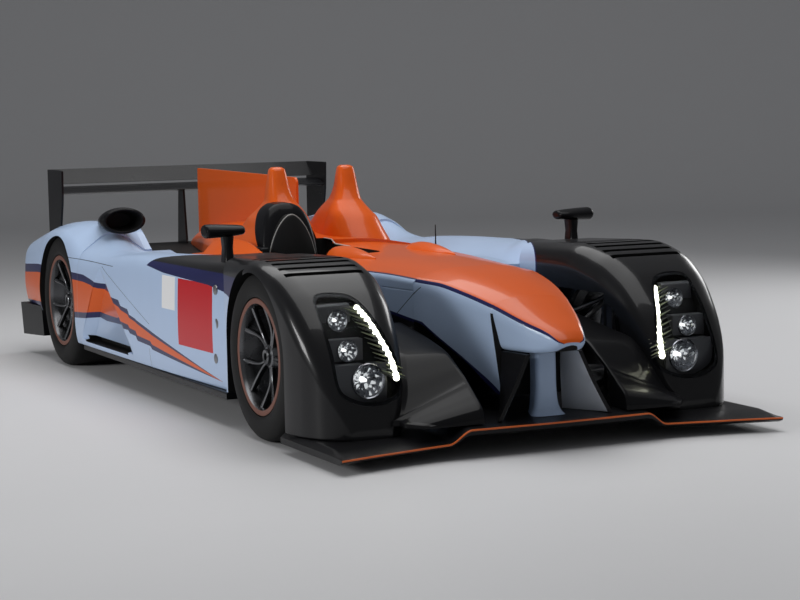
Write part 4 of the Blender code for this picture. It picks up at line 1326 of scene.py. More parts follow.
def make_headlamps():
    """Lamp housings, reflectors, light strips and covers."""
    housing = lamp_layer("lamp_housing", LAMP_POCKET - 0.010, LAMP_POCKET - 0.001, 0.002, dull_carbon())
    pieces = []
    for row in LAMPS:
        carve(housing, lamp_hole(*row[:5], 0.0, dull_carbon()))
        pieces += lamp_unit(*row)
    pieces.append(smooth(housing))
    pieces += [side_reflector(), low_light()]
    place_pair("headlamp_inside", join("headlamp_inside", pieces), "lamp_chrome", "headlamp_bucket")
    place_pair("light_strip", light_strip(), "lamp_glass")

    frame = lamp_layer("lamp_frame", 0.0045, 0.0075, 0.0006, black_paint())
    carve(frame, lamp_prism("inner", 0.016, black_paint()))
    place_pair("lamp_frame", smooth(frame), "body_carbon")
    lens = lamp_layer("lamp_cover", 0.0, 0.004, 0.0006, glass_look("lamp_glass", (0.90, 0.92, 0.94)))
    place_pair("lamp_cover", smooth(lens), "lamp_glass", "headlamp_lens")


def side_reflector():
    """The small upright oval reflector beside the lowest lamp."""
    middle = Vector((0.826, -1.940, 0.288))
    rows = []
    # Oval: half_x, half_z, off
    for half_x, half_z, off in (
        (0.014, 0.036, 0.0),
        (0.012, 0.033, -0.004),
        (0.008, 0.026, 0.006),
        (0.002, 0.006, 0.010),
    ):
        rows.append([middle + point for point in oval((0, off, 0), half_x, half_z, 20)])
    return loft("side_reflector", rows, [bright_metal()])


def low_light():
    """The thin light slot under the lowest lamp."""
    glow = glow_look("slot_light", (1.0, 1.0, 0.94), 1.6)
    light = box("slot_light", (0.678, -1.985, 0.206), (0.756, -1.975, 0.212), glow)
    return smooth(soften(light, 0.002, 2))


def light_strip():
    """A row of bright beads on a carrier, between two rows of slanting fins, which alternate between a
    painted lit tone and a painted shaded tone.
    """
    glow = glow_look("strip_light", (1.0, 1.0, 0.80), 6.0)
    # The fins are all one dark olive: the paler copy is a painted highlight of the strip's light on them, the
    # darker copy painted shade
    lit_and_shaded_fins = (
        plain_look("lit_fins", (0.20, 0.22, 0.12), 0.35, grain=90.0, contrast=0.3, bump=0.05, coat=0.4),
        plain_look("shaded_fins", (0.020, 0.024, 0.012), 0.35, grain=90.0, contrast=0.3, bump=0.05, coat=0.4),
    )
    path = curved([(x, y + 0.014, z) for x, y, z in LIGHT_STRIP], 10, closed=False)
    carrier = tube("strip_carrier", [p + Vector((0.002, 0.012, 0)) for p in path], 0.016, grey_plastic())
    smooth(carrier)
    pieces = [carrier]
    count = forms().lights
    for k in range(count):
        spot = path[round((len(path) - 1) * k / (count - 1))]
        size = 0.0135 if k % 2 else 0.0105
        rows = []
        # Bead: share of its size, off (from the strip)
        for share, off in ((1.0, 0.004), (1.0, -0.001), (0.72, -0.007), (0.25, -0.010)):
            rows.append([spot + point for point in oval((0, off, 0), size * share, size * share, 10)])
        pieces.append(loft("bead", rows, [glow]))
    pieces.append(tube("light_line", [p + Vector((0, 0.002, 0)) for p in path], 0.010, glow))
    # Fins: side, reach, rise (from root to tip)
    for side, reach, rise in ((1, 0.056, 0.022), (-1, 0.034, -0.014)):
        for k in range(FIN_COUNT):
            share = (k + 0.5) / FIN_COUNT * (len(path) - 1)
            first = int(share)
            spot = path[first].lerp(path[min(first + 1, len(path) - 1)], share - first)
            root = spot + Vector((side * 0.013, 0.006, 0))
            tip = spot + Vector((side * (0.013 + reach), 0.010, rise))
            # Alternate fins take the painted lit tone and the painted shaded tone
            pieces.append(bar("fin", root, tip, 0.0048, lit_and_shaded_fins[k % 2], 6, 0.0012))
    return join("light_strip", pieces)


def nose_layers(x, y, z):
    """The navy line along the lower edge of the nose's flank."""
    edge = read_off(y, FLANK_EDGE)
    return (((x.size() > 0.10) & (y > PILLAR_BACK) & (z < edge + FLANK_LINE), colours().navy),)


def flank_seam(x, y, z):
    """The slanting gap between nose and tub."""
    line = y * FLANK_SEAM_RISE - FLANK_SEAM_START
    seam = (z - line).size() < FLANK_SEAM
    return seam & (x.size() > 0.20) & y.within(*FLANK_SEAM_RUN) & (z < FLANK_SEAM_TOP)


def make_nose():
    """Nose cone with its orange top, its pillar and the slanting vanes below."""
    steps = 8
    rings = []
    for y in between(NOSE_SHAPE, 6):
        half, edge, crown, low_half, low = through(NOSE_SHAPE, y)
        tight = 0.006 if y > NOSE_STEP else 0.03
        right = (
            (low_half, low, tight, tight),
            (half, edge, 0.06, 0.03),
            (0.45 * half, crown, 0.08, 0.08),
        )
        rings.append(ring_at(y, both_sides(right), steps))
    row_length = steps + 1
    first, last = 2 * row_length + 6, 5 * row_length + 2
    under = steps
    step_row = between(NOSE_SHAPE, 6).index(NOSE_STEP)

    def strip(row, i):
        if first <= i < last:
            return 1
        if first - 2 <= i < first or last <= i < last + 2:
            return 2
        at_step = step_row <= row < step_row + 7
        if i == under or (at_step and (i < 2 * row_length + 2 or i >= 6 * row_length - 3)):
            return 3
        return 0

    flank = paint_look("nose_paint", colours().blue, nose_layers, flank_seam)
    piece = loft("nose_skin", rings, [flank, orange_paint(), navy_paint(), dull_carbon()], strip)
    smooth(piece, 40)
    place(piece, "body_blue", "nose")

    roof = NOSE_UNDER - GAP
    # Pillar: z, half, front (y), back (y)
    shape = (
        (DECK, 0.092, -2.150, PILLAR_BACK),
        (DECK + 0.012, 0.078, -2.138, PILLAR_BACK),
        (DECK + 0.035, 0.066, -2.128, PILLAR_BACK),
        (DECK + 0.080, 0.056, -2.123, PILLAR_BACK),
        (DECK + 0.140, 0.052, -2.122, PILLAR_BACK),
        (roof, 0.052, -2.120, PILLAR_BACK),
    )
    rings = []
    for z in between(shape, 3):
        half, front, back = through(shape, z)
        right = ((half, front, 0.7 * half, 0.7 * half), (0.3 * half, back, 0.01, 0.01))
        rings.append([Vector((x, y, z)) for x, y in rounded(both_sides(right), 8)])
    pillar = loft("nose_pillar_skin", rings, [blue_paint()])
    place(smooth(pillar), "body_blue", "nose_pillar")

    # Vane: z, front_x, front_y, back_x, back_y
    shape = (
        (DECK, 0.262, -2.178, 0.155, -1.990),
        ((DECK + roof) / 2, 0.190, -2.178, 0.150, -1.990),
        (roof, 0.128, -2.178, 0.146, PILLAR_BACK),
    )
    rings = []
    thick = 0.020
    for z in between(shape, 5):
        front_x, front_y, back_x, back_y = through(shape, z)
        rings.append([
            Vector((front_x, front_y, z)),
            Vector((back_x, back_y, z)),
            Vector((back_x - thick, back_y, z)),
            Vector((front_x - thick, front_y, z)),
        ])
    pale = paint_look("duct_paint", (0.62, 0.66, 0.72))
    vane = loft("nose_vane_skin", rings, [carbon(), pale], lambda row, i: 1 if i == 2 else 0)
    soften(vane, 0.002, 2)
    place_pair("nose_vane_skin", smooth(vane), "carbon", "nose_vane")


def make_tunnel_roofs():
    """The glossy black roof of each front air tunnel, from the splitter up to the tub's side."""
    rings = []
    front = FRONT_AXLE + FRONT_FENDER[0][0]
    for y in between(TUNNEL_ROOF, 5):
        outer = through(ROOF_FRONT, y)[0] if y < front else through(FRONT_FENDER, y - FRONT_AXLE)[0]
        inner_low, inner_top, outer_low, outer_top = through(TUNNEL_ROOF, y)
        corners = (
            (ROOF_INNER, inner_low, 0.002, 0.002),
            (outer - GAP, outer_low, 0.002, 0.002),
            (outer - GAP, outer_top, 0.002, 0.030),
            (ROOF_INNER, inner_top, 0.020, 0.008),
        )
        rings.append(ring_at(y, corners, 6))
    roof = loft("tunnel_roof", rings, [black_paint()])
    place_pair("tunnel_roof", smooth(roof, 40), "body_carbon")


def make_floor():
    """The plank with a raised shelf on each side under the pods."""
    front = SPLITTER_BACK + GAP
    behind_front = FRONT_AXLE + WELL_FRONT_HALF
    ahead_rear = REAR_AXLE - WELL_REAR_HALF
    end = REAR_AXLE + WELL_REAR_HALF
    plank_half = 0.480
    shelf_inner = 0.470
    shelf_outer = 0.960
    half = [(plank_half, front), (plank_half, ahead_rear), (REAR_NECK, ahead_rear), (REAR_NECK, end)]
    outline = half + [(-x, y) for x, y in reversed(half)]
    plank = soften(prism("plank", outline, "Z", 0.055, FLOOR_TOP, carbon()), 0.004, 2)
    parts = [smooth(plank)]
    for _, side in SIDES:
        section = rounded(
            (
                (side * shelf_inner, 0.060, 0.002, 0.01),
                (side * 0.492, 0.060, 0.01, 0.02),
                (side * 0.520, SHELF_LOW, 0.02, 0.02),
                (side * shelf_outer, SHELF_LOW, 0.004, 0.004),
                (side * shelf_outer, SHELF_TOP, 0.006, 0.006),
                (side * shelf_inner, SHELF_TOP, 0.002, 0.002),
            ),
            4,
        )
        parts.append(smooth(prism("shelf", section, "Y", behind_front, ahead_rear, carbon())))
    place(join("floor_skin", parts), "carbon", "floor")


def make_front_suspension():
    """Wishbones on low mounting rails inside the front air tunnels."""
    inner = through(TUB, FRONT_AXLE + ARM_SPREAD + 0.02)[0] + GAP
    rail_low = (inner, FRONT_AXLE - ARM_SPREAD - 0.02, RAIL_LOW)
    rail_high = (inner + 0.03, FRONT_AXLE + ARM_SPREAD + 0.02, RAIL_HIGH)
    rail = box("rail", rail_low, rail_high, steel())
    hollow_low = (inner - 0.1, FRONT_AXLE - ARM_SPREAD + 0.02, RAIL_LOW + RAIL_WALL)
    hollow_high = (inner + 0.2, FRONT_AXLE + ARM_SPREAD - 0.02, RAIL_HIGH - RAIL_WALL)
    carve(rail, box("hollow", hollow_low, hollow_high, steel()))
    parts = [smooth(soften(rail, 0.004, 2))]
    for sign in (-1, 1):
        tip = TYRE_RADIUS + sign * ARM_TIP
        base = RAIL_LOW + RAIL_WALL / 2 if sign < 0 else RAIL_HIGH - RAIL_WALL / 2
        end = (KINGPIN, FRONT_AXLE, tip + sign * 0.014)
        for way in (-1, 1):
            start = (inner + 0.015, FRONT_AXLE + way * ARM_SPREAD, base)
            parts.append(smooth(bar("arm", start, end, ARM_RADIUS, steel(), 20)))
            bush_front = (start[0], start[1] - 0.022, base)
            bush_back = (start[0], start[1] + 0.022, base)
            parts.append(smooth(bar("bush", bush_front, bush_back, BUSH_RADIUS, steel(), 20)))
        low, high = sorted((tip - sign * 0.012, tip + sign * 0.024))
        joint_low = (KINGPIN, FRONT_AXLE, low)
        joint_high = (KINGPIN, FRONT_AXLE, high)
        parts.append(smooth(bar("joint", joint_low, joint_high, JOINT_RADIUS, steel(), 24)))
    place_pair("front_suspension_skin", join("front_suspension_skin", parts), "steel", "front_suspension")


def make_splitter():
    """Splitter with its thin orange leading edge."""
    rows = list(reversed(SPLITTER))
    stations = [(-x, *rest) for x, *rest in rows[:-1]] + [tuple(row) for row in reversed(rows)]
    rings = []
    for x in between(stations, 9):
        lead, trail, low, front_top, top = through(stations, x)
        rings.append([
            Vector((x, lead + 0.001, front_top - 0.007)),
            Vector((x, lead, front_top - 0.004)),
            Vector((x, lead + 0.001, front_top - 0.001)),
            Vector((x, lead + 0.005, front_top)),
            Vector((x, lead + 0.060, front_top * 0.4 + top * 0.6)),
            Vector((x, lead + 0.130, top)),
            Vector((x, trail, top)),
            Vector((x, trail, low)),
            Vector((x, lead + 0.030, low)),
            Vector((x, lead + 0.004, low + 0.010)),
        ])
    edge = paint_look("edge_orange", (0.62, 0.13, 0.03))
    piece = loft("splitter_skin", rings, [carbon(), edge], lambda row, i: 1 if i in (0, 1, 2) else 0)
    place(smooth(piece), "carbon", "splitter")


def tub_layers(x, y, z):
    """Navy line along the flank's edge, and black painted on the tub's front as the shade deep inside the air
    tunnels.
    """
    edge = read_off(y, FLANK_EDGE)
    return (
        ((y < FLANK_LINE_END) & (z < edge + FLANK_LINE), colours().navy),
        # Painted shade: black where the tub lies deep inside the air tunnels
        ((y < TUNNEL_SHADE_END) & (z < edge), colours().black),
    )


def cockpit_opening(low, look, back=COCKPIT_BACK):
    """The hole in the skins over the driver's seat."""
    half = (COCKPIT_LEFT - COCKPIT_RIGHT) / 2
    front = COCKPIT_FRONT
    outline = rounded(
        (
            (SEAT_X - half, front, 0.12, 0.10),
            (SEAT_X + half, front, 0.10, 0.12),
            (SEAT_X + half, back, 0.03, 0.03),
            (SEAT_X - half, back, 0.03, 0.03),
        )
    )
    return prism("opening", outline, "Z", low, 0.95, look)


def make_tub():
    """Tub flanks and the cowl over them, with the cockpit cut out."""
    rings = []
    for y in between(TUB, 5):
        half, low, _, _ = through(TUB, y)
        right = (
            (half * 0.9, low, 0.05, 0.05),
            (half, low + 0.12, 0.05, 0.05),
            (half, TUB_TOP, 0.004, 0.004),
        )
        rings.append(ring_at(y, both_sides(right), 4))
    tub = loft("tub_skin", rings, [paint_look("tub_paint", colours().blue, tub_layers, flank_seam)])
    carve(tub, cockpit_opening(COCKPIT_FLOOR, dull_carbon()))
    place(smooth(tub), "body_blue", "tub")

    steps = 8
    rings = []
    for y in [y for y in between(TUB, 9) if y <= COWL_END + GAP]:
        half, _, edge, crown = through(TUB, y)
        base = TUB_TOP + GAP
        right = (
            (half, base, 0.004, 0.004),
            (half, edge, 0.03, 0.05),
            (0.4 * half, crown, 0.10, 0.10),
        )
        rings.append(ring_at(y, both_sides(right), steps))
    row_length = steps + 1
    first, last = 2 * row_length + 5, 5 * row_length + 3

    def strip(row, i):
        if first <= i < last:
            return 1
        if first - 1 <= i < first or last <= i < last + 1:
            return 2
        return 0

    cowl = loft("cowl_skin", rings, [blue_paint(), orange_paint(), navy_paint()], strip)
    carve(cowl, cockpit_opening(TUB_TOP - 0.1, dull_carbon(), REST_BACK))
    for side in (-1, 1):
        carve(cowl, blister(side), "UNION")
    place(smooth(cowl), "body_orange", "cowl")


def blister(side):
    """A teardrop bulge on the cowl ahead of a seat, with a crease along its crown."""
    rings = []
    for y in between(BLISTER, 5):
        half, rise = through(BLISTER, y)
        centre = Vector((side * BLISTER_X, y, BLISTER_BASE))
        ring = []
        for a in around(32):
            lift = max(math.sin(a), 0.0) ** 6 * 0.10
            ring.append(centre + Vector((half * math.cos(a), 0, rise * (math.sin(a) + lift))))
        rings.append(ring)
    return loft("blister", rings, [orange_paint()])


def pod_corners(inner, low, outer, shoulder, crest_x, crest, deck_x, deck):
    """Corners of a section through a side pod or a rear fender."""
    return (
        (inner, low, 0.01, 0.01),
        (outer - 0.018, low, 0.01, 0.01),
        (outer - 0.006, low + 0.06, 0.03, 0.06),
        (outer, 0.42, 0.12, 0.12),
        (outer - 0.012, shoulder, 0.08, 0.06),
        (crest_x, crest, 0.10, 0.10),
        (deck_x, deck, 0.08, 0.01),
        (inner, deck, 0.005, 0.005),
    )


def tub_half(y):
    """Half the tub's width at a station."""
    return through(TUB, y)[0]


def make_side_pods():
    """Side pods with their painted sides and the triangular vent."""
    marks = [y for y in between(SIDE_POD, 7) if POD_START < y < POD_END]
    rings = []
    for y in [POD_START] + marks + [POD_END]:
        corners = pod_corners(tub_half(y) + 2 * GAP, SILL, *through(SIDE_POD, y))
        rings.append(ring_at(y, corners, 8))
    piece = loft("side_pod_skin", rings, [body_side()])
    inside = dull_carbon()
    # Inlet: y, low and high x, low and high z
    inlet_rows = (
        (POD_START - 0.1, 0.43, 0.62, 0.17, 0.54),
        (POD_START + 0.05, 0.43, 0.62, 0.17, 0.54),
        (POD_START + 0.35, 0.52, 0.70, 0.20, 0.50),
    )
    rings = []
    for y, x_low, x_high, z_low, z_high in inlet_rows:
        corners = ((x_low, z_low), (x_high, z_low), (x_high, z_high), (x_low, z_high))
        rings.append([Vector((x, y, z)) for x, z in corners])
    carve(piece, loft("inlet", rings, [inside]))
    # Vent: outer corners and sunk corners on the side, y, z
    outer = ((0.775, 0.600), (1.115, 0.190), (0.225, 0.190))
    sunk = ((0.790, 0.520), (1.020, 0.200), (0.400, 0.200))
    rings = []
    for x, corners in ((1.010, outer), (0.990, outer), (0.945, sunk)):
        rings.append([Vector((x, y, z)) for y, z in corners])
    carve(piece, loft("vent", rings, [body_side()]))
    carve(piece, box("slot", (0.90, 0.36, 0.182), (1.1, 1.06, 0.216), inside))
    soften(piece, forms().edge_round)
    studs = []
    for y, z in SIDE_FASTENERS:
        face = through(SIDE_POD, y)[0] - 0.002
        stud = bar("stud", (face - 0.030, y, z), (face, y, z), 0.022, steel(), 32)
        studs.append(smooth(soften(stud, 0.001, 2)))
    place_pair("side_pod_skin", join("side_pod_skin", [smooth(piece)] + studs), "body_blue", "side_pod")


def make_rear_fenders():
    """Rear fenders with their wheel arches, out to the tail."""
    rings = []
    for off in between(REAR_FENDER, 8):
        outer, shoulder, crest_x, crest, deck, low = through(REAR_FENDER, off)
        y = max(REAR_AXLE + off, TAIL_START)
        deck_x = REAR_INNER + 0.045
        corners = pod_corners(REAR_INNER, low, outer, shoulder, crest_x, crest, deck_x, deck)
        rings.append(ring_at(y, corners, 8))
    inside = dull_carbon()
    piece = loft("rear_fender_skin", rings, [body_side()])
    carve(piece, well_cutter(REAR_AXLE, WELL_REAR_HALF, REAR_INNER + INNER_WALL, 0.700, inside, 0.955))
    carve(piece, lip_cutter(REAR_AXLE, inside))
    carve(piece, box("window", (0.50, REAR_AXLE - 0.25, BELOW), (0.70, REAR_AXLE + 0.25, 0.50), inside))
    soften(piece, forms().edge_round)
    place_pair("rear_fender_skin", smooth(piece), "body_blue", "rear_fender")


def hump_core(side):
    """One roll hump, through its level outlines."""
    rings = []
    for z in between(HUMP, 6):
        inner, outer, front, rear = through(HUMP, z)
        wide, deep = outer - inner, rear - front
        outline = rounded(
            (
                (inner, front, 0.42 * deep, 0.45 * wide),
                (outer, front, 0.45 * wide, 0.42 * deep),
                (outer - 0.2 * wide, rear, 0.42 * deep, 0.2 * wide),
                (inner + 0.2 * wide, rear, 0.2 * wide, 0.42 * deep),
            ),
            10,
        )
        rings.append([Vector((side * x, y, z)) for x, y in outline])
    return loft("roll_hump", rings, [orange_paint()])


def make_engine_cover():
    """Engine cover with both roll humps, and the tail fin."""
    rings = []
    for y in between(ENGINE_COVER, 7):
        half, shoulder, crown = through(ENGINE_COVER, y)
        base = DECK_TOP + GAP
        right = (
            (half, base, 0.005, 0.005),
            (half, shoulder, 0.05, 0.06),
            (0.4 * half, crown, 0.10, 0.10),
        )
        rings.append(ring_at(y, both_sides(right), 8))
    cover = loft("engine_cover_skin", rings, [orange_paint()])
    for side in (-1, 1):
        carve(cover, hump_core(side), "UNION")
    carve(cover, cockpit_opening(DECK_TOP - 0.1, dull_carbon(), REST_BACK))
    place(smooth(cover, 50), "body_orange", "engine_cover")

    outline = rounded(
        (
            (0.505, 0.700, 0.01, 0.01),
            (2.020, 0.612, 0.002, 0.002),
            (2.020, 1.034, 0.01, 0.01),
            (0.505, 1.018, 0.04, 0.04),
        ),
        8,
    )
    fin = prism("tail_fin_skin", outline, "X", -0.007, 0.007, orange_paint())
    soften(fin, 0.004, 3)
    place(smooth(fin), "body_orange", "tail_fin")


# Wheels


def tyre_profile(width):
    """Half-section of a slick tyre, from its outer bead round the tread to the inner bead: x, radius."""
    half = width / 2
    bead = half - BEAD_INSET
    inner = RIM_RADIUS + GAP
    outer_half = (
        (bead, inner),
        (bead, RIM_RADIUS + 0.019),
        (half - 0.008, RIM_RADIUS + 0.021),
        (half - 0.004, RIM_RADIUS + 0.030),
        (half - 0.001, 0.268),
        (half, 0.290),
        (half - 0.003, 0.312),
        (half - 0.010, 0.333),
        (half - 0.020, 0.345),
        (half - 0.034, 0.3515),
        (half - 0.055, 0.3545),
        (half - 0.080, TYRE_RADIUS),
    )
    return list(outer_half) + [(-x, r) for x, r in reversed(outer_half)]


def spoke(start, middle, end, wide, deep, look):
    """One arm of a forked spoke on a gentle curve."""
    path = curved([start, middle, end], 8, closed=False)
    rings = []
    for i, spot in enumerate(path):
        along = (path[min(i + 1, len(path) - 1)] - path[max(i - 1, 0)]).normalized()
        outward = Vector((1, 0, 0))
        aside = along.cross(outward).normalized()
        t = i / (len(path) - 1)
        width = wide * (1.25 - 0.5 * math.sin(math.pi * min(t * 1.1, 1.0)))
        half_a, half_d = aside * width / 2, outward * deep / 2
        rings.append([
            spot - half_a - half_d,
            spot + half_a - half_d,
            spot + half_a + half_d * 0.7,
            spot + half_d,
            spot - half_a + half_d * 0.7,
        ])
    return loft("spoke", rings, [look])


def rectangle(near, far, low, high):
    """Profile of a plain ring: two places along the axle, two radii."""
    return [(near, low), (near, high), (far, high), (far, low)]


def make_wheels():
    """Tyres, and forked-spoke rims with a copper-coloured lip."""
    look = wheel_metal()
    ring_look = plain_look("tyre_ring", colours().ring, 0.55, grain=120.0, contrast=0.15, bump=0.1)
    ends = (("front", FRONT_AXLE, FRONT_TYRE_WIDTH), ("rear", REAR_AXLE, REAR_TYRE_WIDTH))
    for end, axle, width in ends:
        half = width / 2
        centre = Vector((TYRE_FACE - half, axle, TYRE_RADIUS))
        profile = tyre_profile(width)
        tyre = turned(end + "_tyre_skin", profile, centre, [rubber()], 128)
        place_pair(end + "_tyre_skin", smooth(tyre, 50), "tyre", end + "_tyre", body=end + "_wheel")

        bead = half - BEAD_INSET + GAP
        lip = RIM_RADIUS + 0.016
        wall = RIM_RADIUS - 0.010
        # Barrel: x, radius
        barrel = [
            (-bead, RIM_RADIUS),
            (bead, RIM_RADIUS),
            (bead, lip),
            (half - 0.010, lip),
            (half - 0.008, lip - 0.003),
            (half - 0.010, wall + 0.004),
            (half - 0.030, wall - 0.004),
            (half - 0.080, wall - 0.004),
            (half - 0.110, wall - 0.020),
            (-half + 0.060, wall - 0.020),
            (-half + 0.030, wall),
            (-half + 0.008, wall),
            (-half + 0.008, lip),
            (-bead, lip),
        ]
        lip_faces = (3, 4)
        looks = [look, ring_look]
        barrel = turned("barrel", barrel, centre, looks, 96, lambda i: 1 if i in lip_faces else 0)
        parts = [smooth(barrel, 30, False)]
        hub_inner = KINGPIN + KNUCKLE_THICK / 2 + 0.0005 - centre.x
        face = half - 0.052
        # Hub: x, radius
        hub = [
            (hub_inner, 0.002),
            (hub_inner, 0.060),
            (face - 0.030, 0.060),
            (face - 0.022, 0.056),
            (face - 0.004, 0.048),
            (face, 0.040),
            (face - 0.004, 0.034),
            (face + 0.010, 0.032),
            (face + 0.014, 0.028),
            (face + 0.012, 0.016),
            (face - 0.004, 0.014),
            (face - 0.004, 0.002),
        ]
        parts.append(smooth(turned("hub", hub, centre, [look], 48), 30, False))
        pairs = forms().spoke_pairs
        for k in range(pairs):
            axis = 2 * math.pi * (k + 0.61) / pairs
            for way in (-1, 1):
                fork = math.pi / pairs / 2
                # Points of the arm: x, radius, angle
                line = (
                    (face - 0.016, 0.046, axis + way * 0.10),
                    (face - 0.010, 0.120, axis + way * fork * 0.42),
                    (half - 0.034, 0.219, axis + way * fork),
                )
                points = [centre + Vector((x, r * math.cos(a), r * math.sin(a))) for x, r, a in line]
                arm = spoke(*points, 0.017, 0.024, look)
                parts.append(smooth(soften(arm, 0.002, 2), 40, False))
        rotor_x = hub_inner + 0.012
        disc = rectangle(rotor_x, rotor_x + 0.030, 0.090, 0.165)
        brake = plain_look("brake_disc", (0.045, 0.043, 0.042), 0.5, metallic=0.5, grain=200.0, contrast=0.3)
        parts.append(smooth(turned("rotor", disc, centre, [brake], 64), 30, False))
        bell = rectangle(rotor_x + 0.008, rotor_x + 0.022, 0.058, 0.092)
        parts.append(smooth(turned("bell", bell, centre, [look], 48), 30, False))
        place_pair(end + "_rim_skin", join("rim", parts), "wheel_metal", end + "_rim", body=end + "_wheel")


# Cockpit, wing and outside pieces


def make_cockpit():
    """Glossy headrest arch with the padded, piped panel before it."""
    rings = []
    # Headrest: z, half, front (y), back (y)
    shape = (
        (0.5603, 0.130, -0.110, -0.060),
        (0.700, 0.142, -0.030, 0.060),
        (0.770, 0.133, -0.010, 0.120),
        (0.840, 0.114, 0.010, 0.150),
        (0.885, 0.085, 0.026, 0.165),
        (0.908, 0.050, 0.042, 0.165),
        (0.915, 0.018, 0.060, 0.160),
    )
    for z in between(shape, 5):
        wide, front, rear = through(shape, z)
        outline = rounded(
            (
                (REST_X - wide, front, 0.03, 0.05),
                (REST_X + wide, front, 0.05, 0.03),
                (REST_X + wide, rear, 0.01, 0.01),
                (REST_X - wide, rear, 0.01, 0.01),
            ),
            6,
        )
        rings.append([Vector((x, y, z)) for x, y in outline])
    pieces = [smooth(loft("headrest", rings, [black_paint()]), 50)]
    # Pad: aside, z
    half_arch = ((0.132, 0.575), (0.122, 0.650), (0.104, 0.725), (0.073, 0.795), (0.034, 0.844))
    arch = [(-aside, z) for aside, z in half_arch] + [(0.0, 0.860)] + list(reversed(half_arch))
    line = curved([(REST_X + aside, z) for aside, z in arch], 6, closed=False)
    heart = Vector((REST_X, 0.690))
    rings = []
    for y, share in ((0.040, 1.0), (-0.036, 1.0), (-0.046, 0.985), (-0.050, 0.95)):
        spots = [heart + (spot - heart) * share for spot in line]
        rings.append([Vector((x, y, z)) for x, z in spots])
    pieces.append(smooth(loft("pad", rings, [trim()]), 50))
    piping = plain_look("piping", (0.30, 0.29, 0.27), 0.45, grain=200.0, contrast=0.1)
    path = [Vector((x, -0.040, z)) for x, z in line]
    pieces.append(smooth(tube("piping", path, PIPING_RADIUS, piping, 8)))
    corner = (COCKPIT_RIGHT + GAP, COCKPIT_BACK, TUB_TOP + GAP)
    pieces.append(box("rest_floor", corner, (COCKPIT_LEFT - GAP, REST_BACK - GAP, 0.606), trim()))
    ledge = box("rest_ledge", corner, (COCKPIT_RIGHT + 0.045, REST_BACK - GAP, 0.706), black_paint())
    pieces.append(smooth(soften(ledge, 0.010, 3)))
    place(join("headrest_skin", pieces), "cockpit_trim", "headrest")
    place(cockpit_lip(), "body_orange")
    # The pale line along the cockpit's far rim is a painted highlight
    place(cockpit_rim(), "cockpit_trim")


def crown_at(y):
    """Height of the cowl or the engine cover over the middle of the car."""
    return through(TUB, y)[3] if y <= COWL_END else through(ENGINE_COVER, y)[2]


def cockpit_lip():
    """The raised lip beside the driver, orange outside and black inside."""
    base = 0.640
    inner = -0.4265
    rings = []
    for y, top in COCKPIT_LIP:
        corners = (
            (-0.520, base),
            (-0.452, top - 0.010),
            (-0.445, top),
            (-0.437, top),
            (inner, top - 0.014),
            (inner, base),
        )
        rings.append([Vector((x, y, z)) for x, z in corners])
    looks = [orange_paint(), dull_carbon()]
    lip = loft("cockpit_lip", rings, looks, lambda row, i: 1 if i in (3, 4) else 0)
    return smooth(lip, 50)


def cockpit_rim():
    """A pale tube along the far rim of the cockpit opening: a painted highlight where that edge catches the
    light.
    """
    pale = plain_look("painted_rim_highlight", (0.42, 0.40, 0.38), 0.35, grain=200.0, contrast=0.08)
    line = [Vector((COCKPIT_LEFT - 0.004, y, crown_at(y) + 0.0005)) for y in RIM_HIGHLIGHT_STATIONS]
    return smooth(tube("cockpit_rim", line, PIPING_RADIUS, pale, 8), 50)


def make_wing():
    """Rear wing planes, endplates and pylons in carbon."""
    main_section = rounded(
        (
            (WING_FRONT, WING_TOP - 0.130, 0.015, 0.015),
            (WING_FRONT + 0.090, WING_TOP - 0.147, 0.04, 0.04),
            (WING_FRONT + 0.185, WING_TOP - 0.097, 0.002, 0.002),
            (WING_FRONT + 0.080, WING_TOP - 0.107, 0.05, 0.03),
        ),
        10,
    )
    flap_section = rounded(
        (
            (WING_FRONT + 0.165, WING_TOP - 0.085, 0.010, 0.010),
            (WING_FRONT + 0.230, WING_TOP - 0.077, 0.03, 0.03),
            (TAIL, WING_TOP, 0.002, 0.002),
            (WING_FRONT + 0.210, WING_TOP - 0.055, 0.03, 0.02),
        ),
        10,
    )
    half = WING_HALF - GAP
    plane = prism("wing_main_skin", main_section, "X", -half, half, carbon())
    post = [
        (WING_FRONT, DECK_TOP + GAP),
        (WING_FRONT + 0.150, DECK_TOP + GAP),
        (WING_FRONT + 0.120, WING_TOP - 0.125),
        (WING_FRONT + 0.040, WING_TOP - 0.125),
    ]
    for middle in (-0.076, 0.076):
        carve(plane, prism("pylon", post, "X", middle - 0.006, middle + 0.006, carbon()), "UNION")
    place(smooth(plane), "carbon", "wing_main")
    flap = prism("wing_flap_skin", flap_section, "X", -half, half, carbon())
    place(smooth(flap), "carbon", "wing_flap")
    plate = rounded(
        (
            (2.110, 0.660, 0.01, 0.01),
            (TAIL, 0.660, 0.01, 0.01),
            (TAIL, WING_TOP, 0.01, 0.01),
            (WING_FRONT, WING_TOP, 0.01, 0.01),
            (WING_FRONT + 0.010, 0.870, 0.05, 0.05),
        ),
        6,
    )
    endplate = prism("endplate_skin", plate, "X", WING_HALF, WING_HALF + ENDPLATE, carbon())
    place_pair("endplate_skin", smooth(soften(endplate, 0.002)), "carbon", "wing_endplate")


